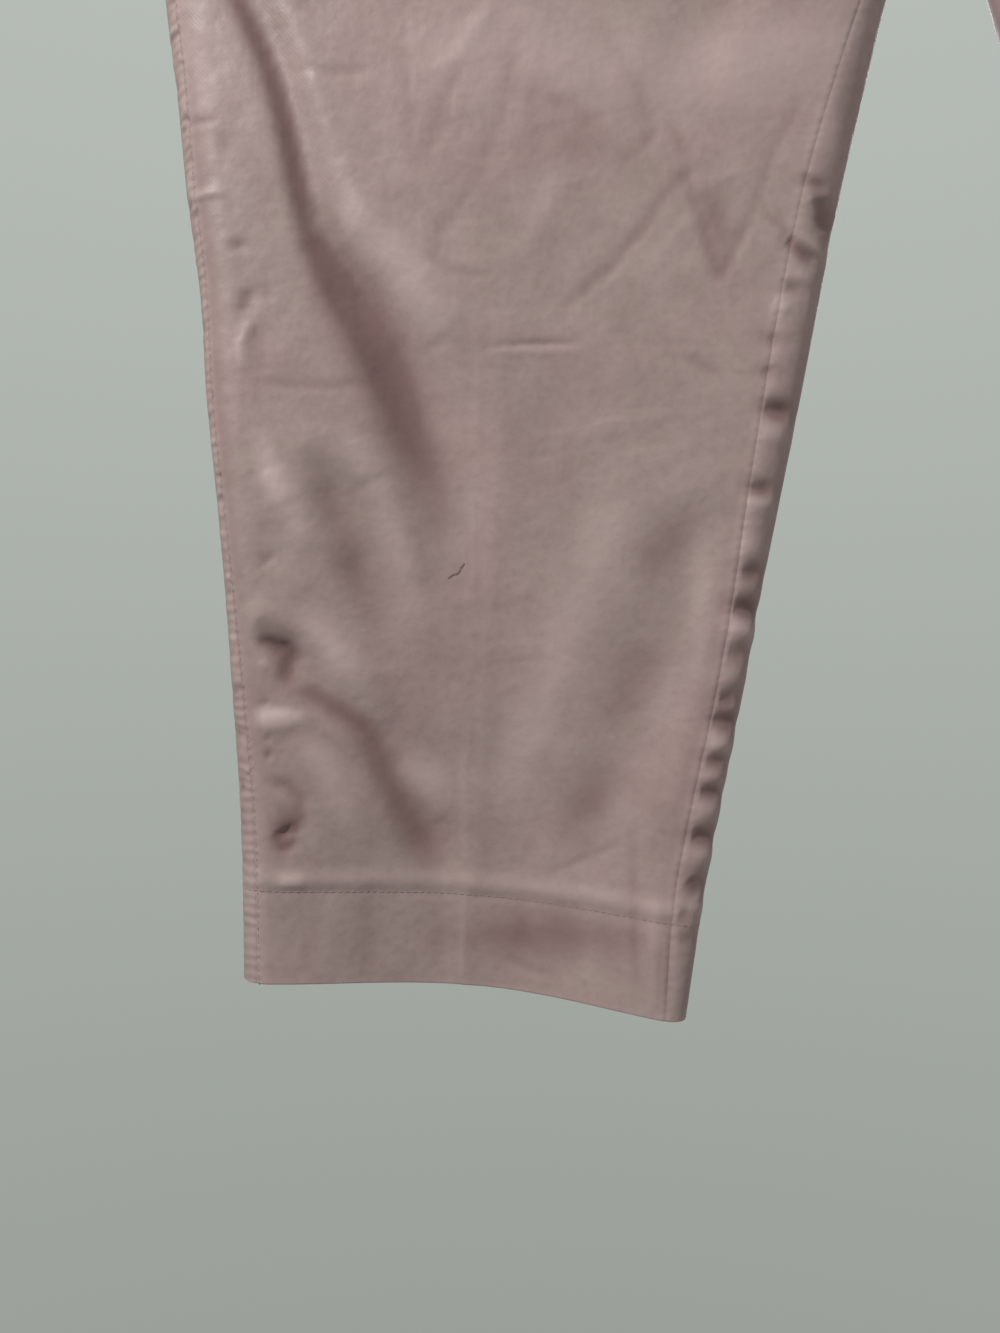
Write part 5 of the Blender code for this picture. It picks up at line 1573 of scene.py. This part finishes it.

# %% Painted highlights on the swells of the right front
PAINTED_SWELL_HIGHLIGHTS = (
    (  # the swell inside the long fold
        (0.2560, -0.4230, 0.008, 0.010, 0.00), (0.2490, -0.4430, 0.010, 0.013, -1.20),
        (0.2350, -0.4570, 0.012, 0.016, -1.10), (0.2240, -0.4740, 0.014, 0.017, -1.05),
        (0.2140, -0.4925, 0.012, 0.014, -0.45), (0.2099, -0.5129, 0.008, 0.008, 0.00),
    ),
    (  # between the fold and the outseam
        (0.2892, -0.5225, 0.005, 0.005, 0.00), (0.2836, -0.5430, 0.009, 0.009, -0.85),
        (0.2763, -0.5594, 0.008, 0.008, -0.70), (0.2699, -0.5751, 0.005, 0.005, 0.00),
    ),
    (  # below the knee
        (0.2597, -0.5220, 0.006, 0.006, 0.00), (0.2442, -0.5423, 0.009, 0.009, -0.30),
        (0.2312, -0.5796, 0.010, 0.010, -0.45), (0.2230, -0.6132, 0.008, 0.008, 0.00),
    ),
    (  # under the tuck
        (0.2922, -0.6451, 0.004, 0.004, 0.00), (0.2857, -0.6451, 0.006, 0.006, -1.00),
        (0.2760, -0.6452, 0.005, 0.005, -1.00), (0.2687, -0.6453, 0.004, 0.004, 0.00),
    ),
    (  # above the slanting fold
        (0.2725, -0.6009, 0.008, 0.008, 0.00), (0.2604, -0.6176, 0.013, 0.013, -0.85),
        (0.2482, -0.6344, 0.013, 0.013, -0.75), (0.2375, -0.6498, 0.008, 0.008, 0.00),
    ),
    (  # below the slanting fold
        (0.2760, -0.6511, 0.006, 0.006, 0.00), (0.2623, -0.6660, 0.012, 0.012, -0.75),
        (0.2550, -0.6831, 0.010, 0.010, -0.50), (0.2486, -0.7026, 0.006, 0.006, 0.00),
    ),
    (  # towards the middle of the hem
        (0.2308, -0.6567, 0.008, 0.008, 0.00), (0.2199, -0.6733, 0.014, 0.014, -0.45),
        (0.2123, -0.6873, 0.008, 0.008, 0.00),
    ),
    (  # from the inseam towards the hem
        (0.1303, -0.5421, 0.008, 0.008, 0.00), (0.1443, -0.5669, 0.012, 0.012, -0.30),
        (0.1634, -0.6196, 0.013, 0.013, -0.35), (0.1838, -0.6753, 0.012, 0.012, -0.25),
        (0.1890, -0.6954, 0.008, 0.008, 0.00),
    ),
    (  # the thigh
        (0.2300, -0.3427, 0.030, 0.030, 0.00), (0.2096, -0.3670, 0.034, 0.034, -0.30),
        (0.1479, -0.3751, 0.034, 0.034, -0.45), (0.1068, -0.3792, 0.026, 0.026, -0.60),
        (0.0657, -0.3712, 0.024, 0.024, -0.55), (0.0411, -0.3631, 0.010, 0.010, 0.00),
    ),
)
print("pale bands:", len(PAINTED_SWELL_HIGHLIGHTS))

# %% [markdown]
# ## Wear along the edges, painted shade and painted highlights
#
# Cloth rubs pale where it stands proud and is handled: along the hem's fold and beside the seams.
# Over the ridge of the turned-up hem the colour is paler too, a painted highlight. Each point of
# the cloth keeps a number that says how near such an edge it lies, and the sateen reads that
# number. Numbers of the same kind carry the painted shade of the creases and folds and the
# painted highlights on ridges and swells. The numbers could be painted by hand, but a rule
# follows each seam wherever it runs.

# %% Worn edges, painted shade and highlights, and gathered seams
WEAR_REACH = 0.0022
# Wear at the hem's fold and beside the seams; a painted highlight on the hem's ridge and on ridges
# and swells
HEM_WEAR, PAINTED_RIDGE_HIGHLIGHT, SEAM_WEAR, PAINTED_HIGHLIGHT_SHARE = 0.30, 0.32, 0.22, 0.90
FULL_CREASE = 0.0016  # a crease this deep or this high takes the whole tone
# The most painted shade that creases and folds lay on the colour
PAINTED_SHADE_SHARE = 0.90
FULL_FOLD = 0.030  # a large fold this deep takes the whole tone
GATHER_REACH, GATHER_FADE = 0.0035, 0.0030
INSEAM_GATHER = 0.4


def paint(piece, name, shares):
    """Writes the same shares on the outer and the inner points of a wall."""
    made = piece.data.attributes.new(name, "FLOAT", "POINT")
    values = np.clip(np.concatenate((shares.ravel(), shares.ravel())), 0.0, 1.0)
    made.data.foreach_set("value", values.astype(np.float32))


def painted_fold_shade_and_highlight(side, face, grid):
    """Painted shade from a panel's large folds, plus the listed bands of shade and highlight."""
    across, z = side * grid[..., 0], grid[..., 2]
    tone = np.zeros(across.shape)
    for path in LARGE_FOLDS[side, face]:
        tone += fold_depth(path, across, z) / FULL_FOLD
    if (side, face) == (RIGHT, "front"):
        for path in PAINTED_FOLD_SHADE + PAINTED_SWELL_HIGHLIGHTS:
            tone += fold_depth(path, across, z)
    return tone


def near(distance, reach=WEAR_REACH):
    return np.exp(-((distance / reach) ** 2))


for (side, face), panel in PANELS.items():
    heights = row_heights(LEG_STEPS[side])
    rise = heights - HEM_HEIGHT
    along = row_distances(panel.outer)
    to_inseam = along[:, -1:] - along
    seams = near(along - DITCH_WIDTH * 2) + near(to_inseam - DITCH_WIDTH * 2)
    # Wear at the hem's fold, and a painted highlight over the ridge of the turned-up hem
    hem = HEM_WEAR * near(rise) + PAINTED_RIDGE_HIGHLIGHT * near(rise - HEM_DEPTH - RIDGE_RISE, RIDGE_WIDTH)
    # Above zero this is painted shade in creases and folds, below zero a painted highlight on
    # ridges and swells
    shade_and_highlight_share = panel.tone / FULL_CREASE + painted_fold_shade_and_highlight(side, face, panel.outer)
    wear_and_painted_highlight = SEAM_WEAR * seams + hem[:, None] + PAINTED_HIGHLIGHT_SHARE * np.maximum(-shade_and_highlight_share, 0.0)
    paint(panel.piece, "wear_and_painted_highlight", wear_and_painted_highlight)
    paint(panel.piece, "deep", PAINTED_SHADE_SHARE * np.maximum(shade_and_highlight_share, 0.0))
    strip = size_at("outseam", heights)[:, None] if face == "back" else 0.0
    gathered = smooth_step((strip + GATHER_REACH - along) / GATHER_FADE)
    gathered += INSEAM_GATHER * smooth_step((GATHER_REACH - to_inseam) / GATHER_FADE)
    paint(panel.piece, "gathered", gathered)
    panel.piece.data.materials.append(SATEEN)
for piece, grid in ((waistband, band_outer), (fly, fly_outer)):
    along = row_distances(grid)
    up = np.cumsum(np.linalg.norm(np.diff(grid, axis=0, prepend=grid[:1]), axis=-1), axis=0)
    to_edge = np.minimum(np.minimum(along, along[:, -1:] - along), np.minimum(up, up[-1:] - up))
    paint(piece, "wear_and_painted_highlight", HEM_WEAR * near(to_edge))
    piece.data.materials.append(SATEEN)

# %% [markdown]
# ## Rows of sewing
#
# The outseam is topstitched beside its edge, a finer row holds the turned-up hem in a groove,
# the waistband has a row along each edge, and the fly has two that turn in to the centre seam.
# Lines drawn by hand would float over some creases and sink into others, so each row's line is
# read off the finished cloth, with the direction that the cloth faces there.

# %% Rows of stitches on the legs
STITCH_SINK = -0.00004
OUTSEAM_ROW = 0.0011
HEM_ROW_LIFT = 0.0001
FIRST_ROW = 2  # the outseam's stitches start above the hem's turned edge

for side in (RIGHT, LEFT):
    front, back = PANELS[side, "front"], PANELS[side, "back"]
    word = SIDE_WORD[side]
    line = raised(beside_outseam(front, OUTSEAM_ROW, FIRST_ROW), STITCH_SINK)
    sew(f"outseam_stitches_{word}", [line], THREAD)
    rise = row_heights(LEG_STEPS[side]) - HEM_HEIGHT
    groove = int(np.argmin(abs(rise - HEM_DEPTH)))
    lines = [raised((p.outer[groove], p.normals[groove]), HEM_ROW_LIFT) for p in (front, back)]
    sew(f"hem_stitches_{word}", lines, THREAD, width=HEM_STITCH_WIDTH)

# %% Rows of stitches on the waistband and the fly
BAND_INSET = 0.0018
BAND_ENDS = slice(4, -4)  # the columns between the band's turned ends
FLY_INSETS = (0.0050, 0.0110)
FLY_ROW_TOP = WAIST_SEAM - 0.002
FLY_ROW_POINTS = 90
AT_CENTRE = 1e-4


def band_line(height):
    row = int(np.argmin(abs(band_levels - height)))
    return raised((band_outer[row, BAND_ENDS], band_normals[row, BAND_ENDS]), STITCH_SINK)


def fly_line(inset):
    """Down beside the fly's edge and round its lower end to the centre seam."""
    low = WAIST_SEAM - FLY_LENGTH + inset
    levels = np.linspace(FLY_ROW_TOP, low, FLY_ROW_POINTS)
    x = -np.maximum(fly_width(levels - inset / 2) - inset, 0.0)
    points, facing = front_rows(x[:, None], levels)
    turned_in = x > -AT_CENTRE
    keep = ~turned_in | (np.cumsum(turned_in) == 1)
    return raised((points[keep, 0], facing[keep, 0]), FLY_LIFT + FLY_CLOTH + STITCH_SINK)


band_lines = [
    band_line(WAIST_SEAM + BAND_INSET),
    band_line(WAIST_SEAM + BAND_HEIGHT - BAND_INSET),
]
sew("waistband_stitches", band_lines, THREAD)
sew("fly_stitches", [fly_line(inset) for inset in FLY_INSETS], THREAD)

# %% [markdown]
# ## Button thread and a pulled thread
#
# A four-hole button is held by two runs of thread between its holes. Lower on the front of the
# leg one thread of the cloth was caught and pulled, and stands off it as a short dark squiggle.
# Grains like those of the sewing would look beaded here, so each strand is a curve with a round
# bevel, through listed places.

# %% Strands
# A crossing is a share of the way from hole to hole, and how far back from the face it lies.
STRAND_RADIUS = 0.00032
STRAND_ROUND, STRAND_ORDER = 2, 3
HOLE_ASIDE = 0.0017 * 0.707  # from the button's middle to a hole, sideways and down
FACE_DROP = 0.0008  # from the button's foremost rim to the face between its holes
CROSSING = ((0.0, 0.0014), (0.05, -0.0001), (0.5, -0.0004), (0.95, -0.0001), (1.0, 0.0014))
PULLED_RADIUS = 0.00016
PULLED_LIFT = 0.0004
PULLED = (  # across, height
    (0.2113, -0.5869),
    (0.2098, -0.5850),
    (0.2070, -0.5846),
    (0.2059, -0.5822),
    (0.2049, -0.5812),
    (0.2044, -0.5802),
)


def strand(name, lines, radius, finish):
    """Round threads along lines of points, as one plain mesh."""
    curve = bpy.data.curves.new(name, "CURVE")
    curve.dimensions = "3D"
    curve.bevel_depth = radius
    curve.bevel_resolution = STRAND_ROUND
    curve.use_fill_caps = True
    for line in lines:
        spline = curve.splines.new("NURBS")
        spline.points.add(len(line) - 1)
        spline.use_endpoint_u = True
        spline.order_u = STRAND_ORDER
        for point, place in zip(spline.points, line):
            point.co = (*place, 1.0)
    made = bpy.data.objects.new(name, curve)
    bpy.context.scene.collection.objects.link(made)
    graph = bpy.context.evaluated_depsgraph_get()
    mesh = bpy.data.meshes.new_from_object(made.evaluated_get(graph))
    mesh.shade_smooth()
    mesh.materials.clear()
    mesh.materials.append(finish)
    bpy.data.objects.remove(made)
    return new_piece(name, mesh)


def nearest(panel, side, across, z):
    """The point of a panel's outer face nearest to a place, and its normal."""
    grid = panel.outer
    off = (side * grid[..., 0] - across) ** 2 + (grid[..., 2] - z) ** 2
    k = np.unravel_index(np.argmin(off), off.shape)
    return np.array((side * across, grid[k][1], z)), panel.normals[k]


low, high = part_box("button")
button_middle = np.array((low + high) / 2)
face_y = low[1] + FACE_DROP
strands = []
for down in (-1, 1):
    left, right = (button_middle + HOLE_ASIDE * np.array((x, 0, down)) for x in (-1, 1))
    path = []
    for share, rise in CROSSING:
        point = left * (1 - share) + right * share
        path.append((point[0], face_y + rise, point[2]))
    strands.append(path)
button_thread = strand("button_thread", strands, STRAND_RADIUS, THREAD)
places = [nearest(PANELS[RIGHT, "front"], RIGHT, *place) for place in PULLED]
path = [tuple(point + normal * PULLED_LIFT) for point, normal in places]
pulled_thread = strand("pulled_thread", [path], PULLED_RADIUS, LOOSE_THREAD)
print("strands:", len(button_thread.data.polygons), len(pulled_thread.data.polygons))

# %% [markdown]
# ## What each piece stands for
#
# The fine cloth takes the place of the imported solids, which stay in the physics model. Every
# piece hangs on the one body, since trousers have no joint: cloth bends everywhere and the
# zip's slider would change the cloth's own shape as it runs.

# %% Ride and replace
STANDS_FOR = {
    "front_right": PANELS[RIGHT, "front"].piece,
    "front_left": PANELS[LEFT, "front"].piece,
    "back_right": PANELS[RIGHT, "back"].piece,
    "back_left": PANELS[LEFT, "back"].piece,
    "waistband": waistband,
    "fly": fly,
}
for node_name, piece in STANDS_FOR.items():
    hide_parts(node_name)
for piece in (*STANDS_FOR.values(), *SEWN.values(), button_thread, pulled_thread):
    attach(piece, "root")

for (side, face), panel in PANELS.items():
    word = SIDE_WORD[side]

# %% [markdown]
# ## Light, floor and camera
#
# One lamp above, in front and to one side models the folds. It is small, so that each ridge has
# a bright slope towards it and a dark one behind. Two weak lamps from the other side reach the
# leg's inner edge, one behind lights the back, and a dim, slightly green-grey surround fills
# the shadows. The camera looks straight at the lower part of one leg, as a buyer looks at a
# hem. The pale floor lies below the hems and out of that view.

# %% Surround
SEEN_LOW, SEEN_HIGH = (0.325, 0.352, 0.322), (0.470, 0.505, 0.468)
SEEN_REACH = 0.55  # sine of the steepest view up or down
GLOW = (0.408, 0.424, 0.405)
GLOW_STRENGTH = 0.36


def surround():
    """A pale wall of light that is seen brighter than it shines, and brightest high up."""
    world = bpy.data.worlds.new("pale surround")
    world.use_nodes = True
    tree = world.node_tree
    glow = tree.nodes["Background"]
    glow.inputs["Color"].default_value = (*GLOW, 1.0)
    glow.inputs["Strength"].default_value = GLOW_STRENGTH
    seen = tree.nodes.new("ShaderNodeBackground")
    split = tree.nodes.new("ShaderNodeSeparateXYZ")
    tree.links.new(coordinates(tree, "Generated"), split.inputs["Vector"])
    height = stretch(tree, split.outputs["Z"], -SEEN_REACH, SEEN_REACH)
    tree.links.new(blend_colours(tree, height, SEEN_LOW, SEEN_HIGH), seen.inputs["Color"])
    path = tree.nodes.new("ShaderNodeLightPath")
    both = tree.nodes.new("ShaderNodeMixShader")
    tree.links.new(path.outputs["Is Camera Ray"], both.inputs["Fac"])
    tree.links.new(glow.outputs["Background"], both.inputs[1])
    tree.links.new(seen.outputs["Background"], both.inputs[2])
    tree.links.new(both.outputs["Shader"], tree.nodes["World Output"].inputs["Surface"])
    return world


bpy.context.scene.world = surround()
bpy.context.scene.view_settings.view_transform = "Standard"

# %% Lamps
AIM = (-0.190, 0.0, -0.600)
PLAIN, ROSY, WARM = (1.0, 1.0, 1.0), (1.0, 0.985, 0.985), (1.0, 0.98, 0.96)
LAMPS = (  # name, place, width across in metres, power in watts, colour
    ("key lamp", (-1.15, -1.00, 0.60), 0.20, 28.3, ROSY),
    ("fill lamp", (0.90, -1.10, 0.10), 0.90, 2.3, WARM),
    ("edge lamp", (1.30, -0.45, -0.35), 0.90, 1.7, WARM),
    ("back lamp", (0.40, 1.20, 0.30), 0.90, 13.0, PLAIN),
)


def lamp(name, place, size, power, colour):
    """A round lamp turned towards the middle of the view."""
    light = bpy.data.lights.new(name, "AREA")
    light.shape = "DISK"
    light.size = size
    light.energy = power
    light.color = colour
    made = bpy.data.objects.new(name, light)
    made.location = place
    towards = mathutils.Vector(AIM) - made.location
    made.rotation_euler = towards.to_track_quat("-Z", "Y").to_euler()
    made.visible_camera = False
    bpy.context.scene.collection.objects.link(made)


for name, *settings in LAMPS:
    lamp(name, *settings)

# %% Floor
FLOOR_HEIGHT = -1.35
FLOOR_RADIUS = 0.60
FLOOR_SIDES = 96
FLOOR_FINISH = {
    "Base Color": (0.62, 0.64, 0.61, 1.0),
    "Roughness": 0.8,
    "Specular IOR Level": 0.2,
}
bpy.ops.mesh.primitive_circle_add(
    vertices=FLOOR_SIDES, radius=FLOOR_RADIUS, fill_type="NGON", location=(0.0, 0.0, FLOOR_HEIGHT)
)
floor = bpy.context.object
floor.name = "floor"
pale, _, _ = new_material("pale floor", FLOOR_FINISH)
floor.data.materials.append(pale)
floor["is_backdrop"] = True

# %% Camera
LENS, SENSOR = 27.1, 36.0  # millimetres
CAMERA_PLACE = (-0.189, -0.430, -0.6245)
NEAREST_SEEN = 0.01
camera_data = bpy.data.cameras.new("camera")
camera_data.lens = LENS
camera_data.sensor_width = SENSOR
camera_data.clip_start = NEAREST_SEEN
camera = bpy.data.objects.new("camera", camera_data)
camera.location = CAMERA_PLACE
camera.rotation_euler = (math.pi / 2, 0.0, 0.0)
bpy.context.scene.collection.objects.link(camera)
bpy.context.scene.camera = camera

# %% Sizes and finish
visual_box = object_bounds()
boxes = {"cad": cad_box, "visual": visual_box}
for name, (lowest, highest) in boxes.items():
    print(name, "box in mm:", [round(1000 * side, 1) for side in highest - lowest])
